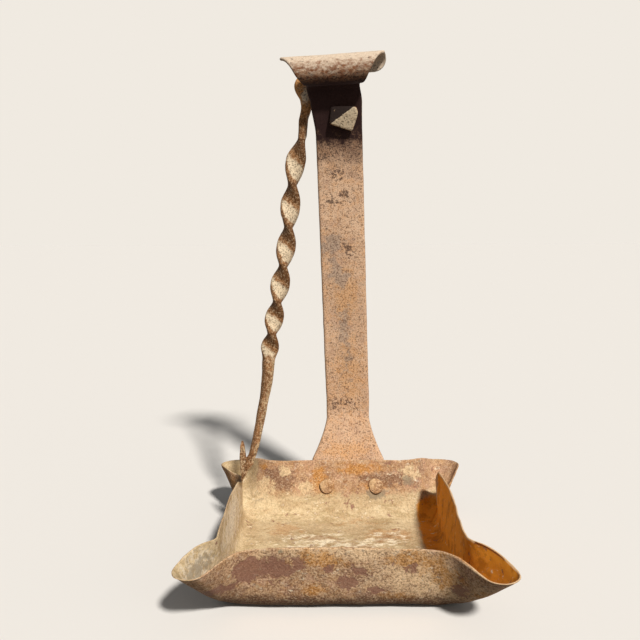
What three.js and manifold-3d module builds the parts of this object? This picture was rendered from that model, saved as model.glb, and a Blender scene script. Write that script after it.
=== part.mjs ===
// Open-dish oil lamp in wrought iron, in millimetres.
// +Z is up and -Y is the front. The origin is the middle of the dish's flat underside.
import * as THREE from 'three';
import { ConvexGeometry } from 'three/addons/geometries/ConvexGeometry.js';
import { mergeVertices } from 'three/addons/utils/BufferGeometryUtils.js';
import Module from 'manifold-3d';

const wasm = await Module();
wasm.setup();

// Clearances
const seatGap = 0.3; // between riveted faces, and round each rivet's shank
const swingGap = 0.7; // round the hanger's shank in its hole, and under its head
const spikeGap = 0.9; // from the parked spike down to the dish's rim

// Dish: one sheet, its outer sizes taken at the rim
const sheet = 1.4;
const dishHalfWidth = 56.5;
const dishHalfDepth = 58.5;
const wallHeight = 32.6;
const wallLean = 10; // degrees, front and back walls only
const endRoll = 11.7; // from the flat floor's edge to the foot of the front and back walls
const sideRoll = 6; // the same under the side walls
const floorCorner = 12;
const spoutKnee = 0.25; // a spout's bottom turns up this far out from the floor to its rim

// Wick spouts: the rim runs out at each corner round a tip and back
const tipRadius = 8.8;
const rootSide = 13.5; // where the rim leaves the side wall, from the corner
const rootEnd = 21.5; // where it leaves the front or back wall
// Each tip's centre beyond the side wall (outX) and the front or back wall (outY), and its dip below the rim.
// Anticlockwise from the back right.
const spouts = [
  { signX: 1, signY: 1, outX: 7.2, outY: 12, dip: 6.2 },
  { signX: -1, signY: 1, outX: 6.2, outY: 10.5, dip: 6.2 },
  { signX: -1, signY: -1, outX: 6.4, outY: 10.5, dip: 4.6 },
  { signX: 1, signY: -1, outX: 7.8, outY: 12.5, dip: 4.6 },
];

// Handle strap: its middle line starts at the bottom of the foot and ends inside the roll
const strapWidth = 25.4;
const strapThick = 3;
const footCentre = 5.2; // X of the foot's middle
const footWidth = 42.5;
const footDrop = 23; // foot below the rim, along the back wall
const footRise = 25.5; // straight foot above the rim
const flareLength = 24.6; // the foot narrows to the strap over this length
const footCorner = 8;
const bendRadius = 18;
const strapLean = 6.7; // degrees forward
const strapLength = 180.5; // straight stretch above the bend
const swayAngle = 1.87; // degrees, the strap leans to the left
const swayRamp = 15; // height over which that lean sets in
const holeDrop = 12.2; // hole's centre below the end of the straight stretch
const holeRadius = 3.9;

// Fishtail roll at the strap's top
const neckRadius = 4; // forward bend under the roll
const neckTurn = 93.3; // degrees, to just past level
const neckRun = 3;
const rollRadius = 6.5;
const rollTurn = 270; // degrees
const rollWidth = 55;
const rollThick = 1.7;
const rollCorner = 6;
const rollTilt = 1.4; // degrees, its right end is the higher one
const rollShift = 2.6; // the roll's middle lies this far left of the strap's line
const fishtailRun = 10; // the strap starts to widen this far below the roll's forward bend

// Rivets through the back wall and the foot
const rivetRadius = 2.3;
const rivetHead = 4.7;
const rivetDome = 2.4;
const rivetTail = 4;
const rivetTailDome = 1.5;
const rivetSpacing = 28.8;
const rivetDrop = 14.8; // below the rim, along the wall
const rivetShift = 1.9; // the pair's middle, right of the foot's middle

// Hanger: head, shank, arch, neck, twisted bar, plain rod, spike and barb
const shankSize = 5.4; // in the hole, across the flats
const archSize = 7.2; // square bar
const archBack = 8.4; // the arch's middle line, behind the strap's
const archRise = 20; // its crest above the hole
const archSpan = 19; // from the hole across to its outer bend
const neckThick = 4.2;
const neckDepth = 7.5;
const barWidth = 10.4;
const barFootWidth = 8.8; // the flat bar's width at the foot of its twist
const barThick = 4.8;
const halfTurns = 6;
const twistLength = 124;
const twistEase = 0.12; // the twist is this much looser at its top than further down
const rodTop = 5.6;
const rodFoot = 3.8;
const spikeLength = 13.5;
const spikeWidth = 5.6;
const spikeThick = 3.4;
const spikeReach = 3.2; // the spike's point, inside the side wall's outer face
const spikeBack = 22.6; // its distance behind the dish's middle
const barbHeight = 21.5; // from the spike's point up to the barb's tip
const barbWidth = 2.5;
const barbThick = 2.8;

// Steps for curved forms
const cornerSteps = 22;
const straightSteps = 3;
const rollSteps = 5;
const wallSteps = 4;
const twistStep = 12; // degrees of twist from one section to the next
const barStep = 3; // millimetres from one section to the next

const rad = THREE.MathUtils.degToRad;
const { lerp, smoothstep } = THREE.MathUtils;
const V = (x, y, z) => new THREE.Vector3(x, y, z);

function iron(color, roughness) {
  return new THREE.MeshStandardMaterial({ color, roughness, metalness: 0.55 });
}

// Solids and booleans

function geometryOf(points, index) {
  const geometry = new THREE.BufferGeometry().setFromPoints(points);
  geometry.setIndex(index);
  return geometry;
}

function solidOf(geometry) {
  const bare = geometry.clone();
  bare.deleteAttribute('normal');
  bare.deleteAttribute('uv');
  const merged = mergeVertices(bare, 1e-4);
  return new wasm.Manifold(
    new wasm.Mesh({
      numProp: 3,
      vertProperties: merged.getAttribute('position').array,
      triVerts: new Uint32Array(merged.index.array),
    }),
  );
}

function geometryFrom(solid) {
  const mesh = solid.getMesh();
  const geometry = new THREE.BufferGeometry();
  geometry.setAttribute('position', new THREE.BufferAttribute(mesh.vertProperties, 3));
  geometry.setIndex(new THREE.BufferAttribute(mesh.triVerts, 1));
  geometry.computeVertexNormals();
  return geometry;
}

// Closes a stack of rings, each turning the same way round the stack's direction, with a fan at each end.
// Each four-sided patch is split along its shorter diagonal.
function skinRings(rings) {
  const sides = rings[0].length;
  const points = rings.flat();
  const index = [];
  for (let k = 0; k + 1 < rings.length; k += 1) {
    for (let i = 0; i < sides; i += 1) {
      const a = k * sides + i;
      const b = k * sides + ((i + 1) % sides);
      if (points[a].distanceTo(points[b + sides]) < points[b].distanceTo(points[a + sides])) {
        index.push(a, b, b + sides, a, b + sides, a + sides);
      } else {
        index.push(a, b, a + sides, b, b + sides, a + sides);
      }
    }
  }
  const last = (rings.length - 1) * sides;
  for (let i = 1; i + 1 < sides; i += 1) {
    index.push(0, i + 1, i, last, last + i, last + i + 1);
  }
  return geometryOf(points, index);
}

// Dish

// One corner of the rim, seen from above, from the side wall to the front or back wall
function rimCorner({ outX, outY }) {
  const centre = V(dishHalfWidth + outX, dishHalfDepth + outY, 0);
  const from = rad(-15);
  const to = rad(138);
  const on = (angle, along) => [
    centre.x + tipRadius * Math.cos(angle) - along * Math.sin(angle),
    centre.y + tipRadius * Math.sin(angle) + along * Math.cos(angle),
  ];
  const path = new THREE.Path();
  path.moveTo(dishHalfWidth, dishHalfDepth - rootSide);
  path.bezierCurveTo(
    dishHalfWidth, dishHalfDepth - rootSide * 0.5, ...on(from, -rootSide * 1.25), ...on(from, 0),
  );
  path.absarc(centre.x, centre.y, tipRadius, from, to, false);
  path.bezierCurveTo(
    ...on(to, rootEnd * 0.42), dishHalfWidth - rootEnd * 0.52, dishHalfDepth,
    dishHalfWidth - rootEnd, dishHalfDepth,
  );
  return path.getSpacedPoints(cornerSteps);
}

// A quarter of the dish in plan: its rim, the edge of its flat floor, and how far round the corner each pair lies
function dishQuarter(spout) {
  const setBack = wallHeight * Math.tan(rad(wallLean));
  const floorX = dishHalfWidth - sideRoll;
  const floorY = dishHalfDepth - setBack - endRoll;
  const quarter = [];
  const add = (rim, floor, corner) => quarter.push({ rim: V(...rim, 0), floor: V(...floor, 0), corner });
  for (let i = 0; i < straightSteps; i += 1) {
    const t = i / straightSteps;
    add([dishHalfWidth, (dishHalfDepth - rootSide) * t], [floorX, (floorY - floorCorner) * t], 0);
  }
  rimCorner(spout).forEach((p, i) => {
    const angle = ((i / cornerSteps) * Math.PI) / 2;
    const floor = [
      floorX - floorCorner + floorCorner * Math.cos(angle),
      floorY - floorCorner + floorCorner * Math.sin(angle),
    ];
    add([p.x, p.y], floor, i / cornerSteps);
  });
  for (let i = 1; i <= straightSteps; i += 1) {
    const t = 1 - i / straightSteps;
    add([(dishHalfWidth - rootEnd) * t, dishHalfDepth], [(floorX - floorCorner) * t, floorY], 1);
  }
  return quarter;
}

// The rim's own direction out of the dish, in plan
function rimNormal(quarter, i) {
  const next = quarter[Math.min(i + 1, quarter.length - 1)].rim;
  const along = next.clone().sub(quarter[Math.max(i - 1, 0)].rim);
  return V(along.y, -along.x, 0).normalize();
}

// One face of the sheet over one plan pair: a roll up from the floor, then straight to the rim.
// In a spout the roll runs nearly all the way out. The inner face lies one sheet further in and up.
function dishProfile(quarter, i, { signX, signY, dip }, inset) {
  const { rim, floor, corner } = quarter[i];
  const beyond = (rim.x - dishHalfWidth + rim.y - dishHalfDepth) / Math.SQRT2;
  const edge = rim.clone().addScaledVector(rimNormal(quarter, i), -inset);
  const spout = Math.sin(Math.PI * corner) ** 1.5;
  const setBack = wallHeight * Math.tan(rad(wallLean)) * corner;
  const knee = V(edge.x, edge.y - setBack, 0).lerp(floor.clone().lerp(edge, spoutKnee), spout);
  const start = floor.clone();
  knee.z = inset;
  start.z = inset;
  edge.z = wallHeight - dip * smoothstep(beyond, -6, 22);
  const wall = edge.sub(knee);
  const rolled = lerp(lerp(sideRoll, endRoll, corner) / wall.length(), 0.92, spout);
  const roll = new THREE.QuadraticBezierCurve3(start, knee, knee.clone().addScaledVector(wall, rolled));
  const points = roll.getPoints(rollSteps);
  for (let j = 1; j <= wallSteps; j += 1) {
    points.push(knee.clone().addScaledVector(wall, lerp(rolled, 1, j / wallSteps)));
  }
  return points.map((p) => V(p.x * signX, p.y * signY, p.z));
}

// All the profiles of one face, anticlockwise round the dish from the right
function dishFace(inset) {
  return spouts.flatMap((spout) => {
    const quarter = dishQuarter(spout);
    const run = quarter.map((pair, i) => dishProfile(quarter, i, spout, inset));
    return (spout.signX * spout.signY > 0 ? run : run.reverse()).slice(0, -1);
  });
}

function dishGeometry() {
  const outer = dishFace(0);
  const inner = dishFace(sheet);
  const count = outer.length;
  const levels = outer[0].length;
  const points = [...outer.flat(), ...inner.flat(), V(0, 0, 0), V(0, 0, sheet)];
  const index = [];
  const inside = count * levels;
  const under = 2 * count * levels;
  for (let i = 0; i < count; i += 1) {
    const a = i * levels;
    const b = ((i + 1) % count) * levels;
    for (let j = 0; j + 1 < levels; j += 1) {
      index.push(a + j, b + j, b + j + 1, a + j, b + j + 1, a + j + 1);
      index.push(inside + a + j, inside + b + j + 1, inside + b + j);
      index.push(inside + a + j, inside + a + j + 1, inside + b + j + 1);
    }
    const rim = levels - 1;
    index.push(a + rim, b + rim, inside + b + rim, a + rim, inside + b + rim, inside + a + rim);
    index.push(under, b, a, under + 1, inside + a, inside + b);
  }
  return geometryOf(points, index);
}

// Back wall: a point on its outer face, below the rim by a distance along the wall, and off it along its normal

const wallUp = V(0, Math.sin(rad(wallLean)), Math.cos(rad(wallLean)));
const wallOut = V(0, Math.cos(rad(wallLean)), -Math.sin(rad(wallLean)));

function onBackWall(x, drop, off) {
  return V(x, dishHalfDepth, wallHeight).addScaledVector(wallUp, -drop).addScaledVector(wallOut, off);
}

// Handle strap

// Stations along the strap's middle line, in the YZ plane. A lean of 0 points up, and a positive lean points back.
function strapStations() {
  const start = onBackWall(0, footDrop, seatGap + strapThick / 2);
  let { y, z } = start;
  let lean = wallLean;
  let far = 0;
  const stations = [{ y, z, lean, far }];
  const walk = (length, turn, steps) => {
    for (let i = 0; i < steps; i += 1) {
      lean += turn / steps / 2;
      y += (length / steps) * Math.sin(rad(lean));
      z += (length / steps) * Math.cos(rad(lean));
      far += length / steps;
      lean += turn / steps / 2;
      stations.push({ y, z, lean, far });
    }
    return stations.length - 1;
  };
  walk(footDrop + footRise, 0, 16);
  const bend = walk(bendRadius * rad(wallLean + strapLean), -(wallLean + strapLean), 4);
  const hole = walk(strapLength - holeDrop, 0, 6);
  const rollStart = walk(holeDrop, 0, 1);
  walk(neckRadius * rad(neckTurn), -neckTurn, 6);
  walk(neckRun, 0, 1);
  walk(rollRadius * rad(rollTurn), rollTurn, 30);
  return { stations, bend, hole, rollStart };
}

const strapLine = strapStations();
const strapEnd = strapLine.stations.at(-1).far;
const rollFar = strapLine.stations[strapLine.rollStart].far;
const bendAt = strapLine.stations[strapLine.bend];
const rollAt = strapLine.stations[strapLine.rollStart];

// How far a rounded corner cuts into the width, at a distance from the strip's end
function cornerCut(fromEnd, radius) {
  const into = Math.max(0, radius - fromEnd);
  return radius - Math.sqrt(radius * radius - into * into);
}

function strapWidthAt(far) {
  const flareTop = footDrop + footRise;
  const flare = Math.min(1, Math.max(0, flareTop - far) / flareLength) ** 1.4;
  const foot = (footWidth - strapWidth) * flare - 2 * cornerCut(far, footCorner);
  const crest = rollFar + neckRadius * rad(neckTurn) + neckRun + rollRadius * Math.PI;
  const fan = Math.max(0, far - rollFar + fishtailRun) / (crest - rollFar + fishtailRun);
  const fish = (rollWidth - strapWidth) * Math.min(1, fan ** 2.2) - 2 * cornerCut(strapEnd - far, rollCorner);
  return strapWidth + foot + fish;
}

function strapThickAt(far) {
  return lerp(strapThick, rollThick, smoothstep(far, rollFar, rollFar + rollRadius * Math.PI));
}

// Leans the strap sideways above its bend, and tilts the roll a little more
function sway(point) {
  const rise = point.z - bendAt.z;
  const turn = rad(swayAngle) * THREE.MathUtils.clamp(rise / swayRamp, 0, 1);
  const across = point.x - footCentre;
  const x = footCentre + across * Math.cos(turn) - Math.max(0, rise) * Math.sin(turn);
  const z = point.z + across * Math.sin(turn) - Math.max(0, rise) * (1 - Math.cos(turn));
  const roll = smoothstep(z, rollAt.z - rollRadius, rollAt.z + rollRadius);
  return V(x - rollShift * roll, point.y, z + across * Math.sin(rad(rollTilt)) * roll);
}

function strapGeometry() {
  const rings = strapLine.stations.map(({ y, z, lean, far }) => {
    const half = strapWidthAt(far) / 2;
    const thick = strapThickAt(far) / 2;
    const backY = Math.cos(rad(lean)) * thick;
    const backZ = -Math.sin(rad(lean)) * thick;
    return [
      V(footCentre - half, y - backY, z - backZ),
      V(footCentre + half, y - backY, z - backZ),
      V(footCentre + half, y + backY, z + backZ),
      V(footCentre - half, y + backY, z + backZ),
    ].map(sway);
  });
  return skinRings(rings);
}

// The hole's frame: its centre on the strap's middle face, and the strap's own across, up and out (forward)
const holeAt = strapLine.stations[strapLine.hole];
const holeCentre = sway(V(footCentre, holeAt.y, holeAt.z));
const strapUp = V(0, -Math.sin(rad(strapLean)), Math.cos(rad(strapLean)));
const strapOut = V(0, -Math.cos(rad(strapLean)), -Math.sin(rad(strapLean)));

function atHole(across, up, out) {
  return V(across, 0, 0).add(holeCentre).addScaledVector(strapUp, up).addScaledVector(strapOut, out);
}

// A round rod from one point to another, for cutting holes
function drill(from, to, radius) {
  const length = from.distanceTo(to);
  const rod = new THREE.CylinderGeometry(radius, radius, length, 24);
  const turn = new THREE.Quaternion().setFromUnitVectors(V(0, 1, 0), to.clone().sub(from).normalize());
  rod.applyQuaternion(turn);
  const middle = from.clone().add(to).multiplyScalar(0.5);
  rod.translate(middle.x, middle.y, middle.z);
  return solidOf(rod);
}

// Rivets

const rivetMiddle = footCentre + rivetShift;
const rivetXs = { rivet_left: rivetMiddle - rivetSpacing / 2, rivet_right: rivetMiddle + rivetSpacing / 2 };

function rivetHoles(solid) {
  return Object.values(rivetXs).reduce((left, x) => {
    const hole = drill(
      onBackWall(x, rivetDrop, -3 * sheet), onBackWall(x, rivetDrop, 3 * strapThick), rivetRadius + seatGap,
    );
    return left.subtract(hole);
  }, solid);
}

// Turned about its own axis: domed head inside the dish, shank, and peened tail behind the foot
function rivetGeometry(x) {
  const inside = -sheet - seatGap;
  const behind = seatGap + strapThick + seatGap;
  const profile = [];
  for (let i = 0; i <= 6; i += 1) {
    const angle = (i / 6) * (Math.PI / 2);
    profile.push(new THREE.Vector2(rivetHead * Math.sin(angle), inside - rivetDome * Math.cos(angle)));
  }
  profile.push(new THREE.Vector2(rivetRadius, inside));
  profile.push(new THREE.Vector2(rivetRadius, behind));
  for (let i = 0; i <= 4; i += 1) {
    const angle = (i / 4) * (Math.PI / 2);
    profile.push(new THREE.Vector2(rivetTail * Math.cos(angle), behind + rivetTailDome * Math.sin(angle)));
  }
  profile[0].x = 0;
  profile.at(-1).x = 0;
  const rivet = new THREE.LatheGeometry(profile, 20);
  rivet.applyQuaternion(new THREE.Quaternion().setFromUnitVectors(V(0, 1, 0), wallOut));
  const seat = onBackWall(x, rivetDrop, 0);
  rivet.translate(seat.x, seat.y, seat.z);
  return rivet;
}

// Hanger

// The hanging bar's middle line from the neck down to the spike: X, Y and Z above the spike's point
const spikePoint = V(spikeReach - dishHalfWidth, spikeBack, wallHeight + spikeGap);
const barLine = new THREE.CatmullRomCurve3([
  [33.2, 31.4, 186.2],
  [28.9, 31, 170],
  [24.3, 23.2, 127.7],
  [15.1, 12, 70],
  [13.4, 8.6, 50.5],
  [8.6, 4.4, 27],
  [5.7, 2.2, spikeLength],
].map(([x, y, z]) => V(x, y, z).add(spikePoint)));

// Stations from the head to the spike's point: a place on the middle line, the section's two sizes, and its turn
function hangerStations() {
  const stations = [];
  const add = (at, width, thick, turn) => stations.push({ at, width, thick, turn });
  add(atHole(0, 0, strapThick / 2 + swingGap + 3), shankSize, shankSize, 0);
  add(atHole(0, 0, strapThick / 2), shankSize, shankSize, 0);
  add(atHole(0, 0, -strapThick / 2 - swingGap), shankSize, shankSize, 0);
  add(atHole(-0.4, 1.6, -archBack + 1), shankSize, shankSize, 10);
  add(atHole(-2.4, archRise * 0.55, -archBack), archSize, archSize, 35);
  add(atHole(-archSpan * 0.42, archRise, -archBack), archSize, archSize, 45);
  add(atHole(-archSpan * 0.85, archRise * 0.93, -archBack), archSize, archSize, 45);
  add(atHole(-archSpan * 1.05, archRise * 0.78, -archBack), archSize, archSize, 45);
  add(atHole(-archSpan * 0.94, archRise * 0.45, -archBack + 0.4), archSize, archSize * 0.8, 60);
  add(atHole(-archSpan * 0.92, archRise * 0.2, -archBack + 0.6), neckDepth, neckThick + 1.6, 80);
  add(atHole(-archSpan, -archRise * 0.1, -archBack + 1), neckDepth, neckThick + 0.4, 90);
  const turnAt = (t) => -180 * halfTurns * t;
  for (let i = 0; i <= 2 * halfTurns; i += 1) {
    const t = i / (2 * halfTurns);
    const along = (t + twistEase * t * (1 - t)) * twistLength / barLine.getLength();
    const size = i === 0 ? [neckDepth, neckThick] : [lerp(barWidth, barFootWidth, t), barThick];
    add(barLine.getPointAt(along), ...size, 90 + turnAt(t));
  }
  const last = 135 + turnAt(1);
  Object.assign(stations.at(-1), { width: rodTop * 1.2, thick: rodTop, turn: last });
  add(barLine.getPointAt(0.76), rodTop, rodTop, last);
  add(barLine.getPointAt(0.84), lerp(rodTop, rodFoot, 0.6), lerp(rodTop, rodFoot, 0.6), last);
  add(barLine.getPointAt(1), rodFoot, rodFoot, last);
  add(V(3.8, 1.4, spikeLength * 0.74).add(spikePoint), spikeWidth, spikeThick, last + 45);
  add(V(1.5, 0.6, spikeLength * 0.34).add(spikePoint), spikeWidth * 0.6, spikeThick * 0.7, last + 45);
  add(spikePoint, 1, 1, last + 45);
  return stations;
}

// A bar's section: a rectangle with its four corners taken off, and a point halfway along each long side
function barSection(width, thick) {
  const cut = 0.2 * Math.min(width, thick);
  const w = width / 2;
  const t = thick / 2;
  return [
    [w, -t + cut], [w, t - cut], [w - cut, t], [0, t], [-w + cut, t],
    [-w, t - cut], [-w, -t + cut], [-w + cut, -t], [0, -t], [w - cut, -t],
  ];
}

// Sections between the stations, carried along the line by a frame that turns no more than the line does
function hangerBar() {
  const stations = hangerStations();
  const spans = stations.length - 1;
  const line = new THREE.CatmullRomCurve3(stations.map(({ at }) => at), false, 'centripetal');
  const normal = V(1, 0, 0);
  const rings = [];
  const addRing = (k, t) => {
    const from = stations[k];
    const to = stations[Math.min(k + 1, spans)];
    const u = (k + t) / spans;
    const tangent = line.getTangent(u);
    normal.addScaledVector(tangent, -normal.dot(tangent)).normalize();
    const turned = normal.clone().applyAxisAngle(tangent, rad(lerp(from.turn, to.turn, t)));
    const other = tangent.clone().cross(turned);
    const ease = smoothstep(t, 0, 1);
    const section = barSection(lerp(from.width, to.width, ease), lerp(from.thick, to.thick, ease));
    rings.push(section.map(([w, d]) => line.getPoint(u).addScaledVector(turned, w).addScaledVector(other, d)));
  };
  for (let k = 0; k < spans; k += 1) {
    const twist = Math.abs(stations[k + 1].turn - stations[k].turn) / twistStep;
    const length = stations[k].at.distanceTo(stations[k + 1].at) / barStep;
    const steps = Math.ceil(Math.max(twist, length, 1));
    for (let i = 0; i < steps; i += 1) {
      addRing(k, i / steps);
    }
  }
  addRing(spans, 0);
  return skinRings(rings);
}

// The head: a chisel-cut wedge, its points given across, up and out from the hole's centre
function hangerHead() {
  const back = strapThick / 2 + swingGap;
  const points = [
    [-4.6, -5.6, back + 6], [3.4, 3.6, back + 7], [7.4, -9.6, back + 2.2], [10.8, 1.6, back + 3],
    [9.2, 4, back + 3.6], [-2.2, 4.2, back + 2.4],
    [-4, -5, back], [6.8, -9, back], [10.3, 1.4, back], [8, 4, back], [-3, 3.8, back],
  ];
  return new ConvexGeometry(points.map((p) => atHole(...p)));
}

// The barb: a flat tongue that rises beside the rod from the spike's left edge
function hangerBarb() {
  const outline = [
    [-0.8, 0.2, barbThick], [1.6, 0.2, barbThick],
    [-1.2, 0.6, barbThick], [barbWidth, 0.55, barbThick],
    [-1, 0.84, barbThick * 0.8], [barbWidth * 0.7, 0.84, barbThick * 0.8],
    [-0.3, 1, barbThick * 0.4], [0.9, 0.99, barbThick * 0.4],
  ];
  const points = outline.flatMap(([across, part, thick]) => {
    const up = part * barbHeight;
    return [-thick / 2, thick / 2].map((side) => V(across, (up * 2) / spikeLength + side, up).add(spikePoint));
  });
  return new ConvexGeometry(points);
}

// The lamp

function mesh(name, geometry, material) {
  const made = new THREE.Mesh(geometry, material);
  made.name = name;
  return made;
}

const paleRust = iron(0x8f7058, 0.85);
const darkIron = iron(0x6f5548, 0.8);
const orangeRust = iron(0x94622f, 0.9);

const dish = rivetHoles(solidOf(dishGeometry()));
const hole = drill(atHole(0, 0, 2 * strapThick), atHole(0, 0, -2 * strapThick), holeRadius);
const strap = rivetHoles(solidOf(strapGeometry())).subtract(hole);
const hanger = solidOf(hangerBar()).add(solidOf(hangerHead())).add(solidOf(hangerBarb()));

const lamp = new THREE.Group();
lamp.add(mesh('dish', geometryFrom(dish), paleRust));
lamp.add(mesh('handle_strap', geometryFrom(strap), darkIron));
Object.entries(rivetXs).forEach(([name, x]) => lamp.add(mesh(name, rivetGeometry(x), orangeRust)));
lamp.add(mesh('hanger', geometryFrom(hanger), paleRust));

export default lamp;
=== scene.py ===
import bmesh
import bpy
import numpy as np
from mathutils import Matrix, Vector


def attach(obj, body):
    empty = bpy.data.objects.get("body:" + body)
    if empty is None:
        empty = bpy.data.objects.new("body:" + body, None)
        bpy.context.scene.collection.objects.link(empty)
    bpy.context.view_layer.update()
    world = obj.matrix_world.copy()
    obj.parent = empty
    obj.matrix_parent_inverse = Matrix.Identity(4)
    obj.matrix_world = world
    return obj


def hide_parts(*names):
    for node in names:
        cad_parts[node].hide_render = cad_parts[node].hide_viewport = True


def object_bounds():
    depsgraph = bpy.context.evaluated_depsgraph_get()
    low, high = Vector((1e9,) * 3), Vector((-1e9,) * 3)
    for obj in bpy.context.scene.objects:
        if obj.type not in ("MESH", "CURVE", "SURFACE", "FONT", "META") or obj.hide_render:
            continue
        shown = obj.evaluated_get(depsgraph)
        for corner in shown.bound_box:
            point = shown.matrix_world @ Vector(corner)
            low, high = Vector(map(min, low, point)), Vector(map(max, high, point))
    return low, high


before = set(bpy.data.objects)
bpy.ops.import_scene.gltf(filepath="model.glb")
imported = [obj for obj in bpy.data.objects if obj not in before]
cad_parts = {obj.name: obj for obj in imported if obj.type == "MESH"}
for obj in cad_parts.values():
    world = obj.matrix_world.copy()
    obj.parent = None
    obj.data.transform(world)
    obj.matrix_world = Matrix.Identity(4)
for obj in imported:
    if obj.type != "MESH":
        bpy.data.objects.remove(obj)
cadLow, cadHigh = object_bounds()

# Open-dish oil lamp in wrought iron. Shapes are worked out in millimetres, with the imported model's own axes:
# +Z up, -Y to the front, +X to the right, and the origin under the middle of the dish.
mm = 0.001
rad = np.radians
scene = bpy.context.scene

# Rust grit is under half a millimetre across, and is drawn about twice as large so that it shows at this distance.
grit = {"size": 0.9, "detail": 4}


def linear(hexText):
    # an sRGB hex colour as linear red, green, blue and alpha
    c = np.array([int(hexText[i:i + 2], 16) for i in (0, 2, 4)]) / 255
    return (*np.where(c <= 0.04045, c / 12.92, ((c + 0.055) / 1.055) ** 2.4), 1.0)


def bareTree(owner):
    # the node tree of a material or world, switched on and emptied
    owner.use_nodes = True
    owner.node_tree.nodes.clear()
    return owner.node_tree


def add(tree, kind, inputs=None, **settings):
    # one node with its settings; each input is a value or the output that feeds it
    node = tree.nodes.new("ShaderNode" + kind)
    for name, value in settings.items():
        setattr(node, name, value)
    for name, value in (inputs or {}).items():
        if isinstance(value, bpy.types.NodeSocket):
            tree.links.new(value, node.inputs[name])
        else:
            node.inputs[name].default_value = value
    return node


def ease(x, low, high):
    # 0 below low, 1 above high, and 3t^2 - 2t^3 between them
    t = np.clip((x - low) / (high - low), 0, 1)
    return t * t * (3 - 2 * t)


def mix(a, b, t):
    # a where t is 0, b where it is 1, and in a straight line between
    return a + (b - a) * t


def band(x, marks):
    # eased from 0 to 1 between the first two marks and back to 0 between the last two
    return ease(x, *marks[:2]) * (1 - ease(x, *marks[2:]))


def lumps(points, size, seed):
    # smooth noise from -1 to 1: random heights on a cubic lattice of that size in mm, eased between its corners
    side, shift = 32, 7.3  # cells until the lattice repeats, and how far along it each next seed starts
    table = np.random.default_rng(seed).uniform(-1, 1, (side, side, side))
    place = points / size + shift * seed
    cell = np.floor(place).astype(int)
    part = place - cell
    part = part * part * (3 - 2 * part)
    total = np.zeros(points.shape[:-1])
    for corner in np.ndindex(2, 2, 2):
        near = np.where(corner, part, 1 - part).prod(-1)
        i = (cell + corner) % side
        total += near * table[i[..., 0], i[..., 1], i[..., 2]]
    return total


def waves(points, sizes, seed):
    # lumps of each size times its depth, added up; each size has the next seed
    return sum(lumps(points, size, seed + k) * depth for k, (size, depth) in enumerate(sizes))


def spots(points, places):
    # for rows of x, y, z and three reaches: 1 in a spot's middle, falling evenly to 0 at its reach; the nearest counts
    field = np.zeros(points.shape[:-1])
    for x, y, z, *reach in places:
        field = np.maximum(field, 1 - np.sqrt((((points - (x, y, z)) / reach) ** 2).sum(-1)))
    return field


def distances(path):
    # how far along a path of points each of them lies: the sum of the steps up to it
    return np.concatenate([[0], np.cumsum(np.linalg.norm(np.diff(path, axis=0), axis=1))])


def outward(grid):
    # unit normals of a grid of points, whose second direction closes on itself: the cross of its two slopes
    down = np.gradient(grid, axis=0)
    around = (np.roll(grid, -1, 1) - np.roll(grid, 1, 1)) / 2
    normal = np.cross(down, around)
    return normal / np.maximum(np.linalg.norm(normal, axis=-1, keepdims=True), 1e-9)


def insideBox(grid):
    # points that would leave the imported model's box go to just inside it
    gap = 0.01
    return np.clip(grid, np.array(cadLow) / mm + gap, np.array(cadHigh) / mm - gap)


def gridCells(rows, columns, drop=None):
    # corner numbers of each cell of a grid whose columns close into a ring, less the cells that drop marks
    r, c = np.meshgrid(np.arange(rows - 1), np.arange(columns), indexing="ij")
    a, b = r * columns + c, r * columns + (c + 1) % columns
    cells = np.stack([a, b, b + columns, a + columns], -1)
    return cells[~drop] if drop is not None else cells.reshape(-1, 4)


def skin(name, grid, fields, finish, body, nodes=(), drop=None, wall=None):
    # A mesh from a grid of rings, closed by a fan at each end, with one number per point for each field. A hole takes
    # away the cells that drop marks and adds the cells of its own wall.
    rows, columns = grid.shape[:2]
    ends = np.stack([grid[0].mean(0), grid[-1].mean(0)])
    points = np.concatenate([grid.reshape(-1, 3), ends])
    cells = gridCells(rows, columns, drop)
    if wall is not None:
        cells = np.concatenate([cells, wall])
    ring = np.arange(columns)
    turn = np.roll(ring, -1)
    base = (rows - 1) * columns
    fans = np.concatenate([
        np.stack([turn, ring, np.full(columns, len(points) - 2)], -1),
        np.stack([base + ring, base + turn, np.full(columns, len(points) - 1)], -1),
    ])
    mesh = bpy.data.meshes.new(name)
    mesh.vertices.add(len(points))
    mesh.vertices.foreach_set("co", (points * mm).ravel())
    mesh.loops.add(cells.size + fans.size)
    mesh.loops.foreach_set("vertex_index", np.concatenate([cells.ravel(), fans.ravel()]))
    starts = np.concatenate([np.arange(len(cells)) * 4, cells.size + np.arange(len(fans)) * 3])
    mesh.polygons.add(len(starts))
    mesh.polygons.foreach_set("loop_start", starts)
    mesh.update(calc_edges=True)
    mesh.validate()
    for field, values in fields.items():
        ended = np.concatenate([values.ravel(), values[0].mean(keepdims=True), values[-1].mean(keepdims=True)])
        mesh.attributes.new(field, "FLOAT", "POINT").data.foreach_set("value", ended.astype(np.float32))
    shell = bmesh.new()
    shell.from_mesh(mesh)
    bmesh.ops.recalc_face_normals(shell, faces=shell.faces)
    shell.to_mesh(mesh)
    shell.free()
    mesh.shade_smooth()
    mesh.materials.append(finish)
    piece = bpy.data.objects.new(name, mesh)
    scene.collection.objects.link(piece)
    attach(piece, body)
    if nodes:
        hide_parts(*nodes)
    print(name, len(points), "points")


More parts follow.
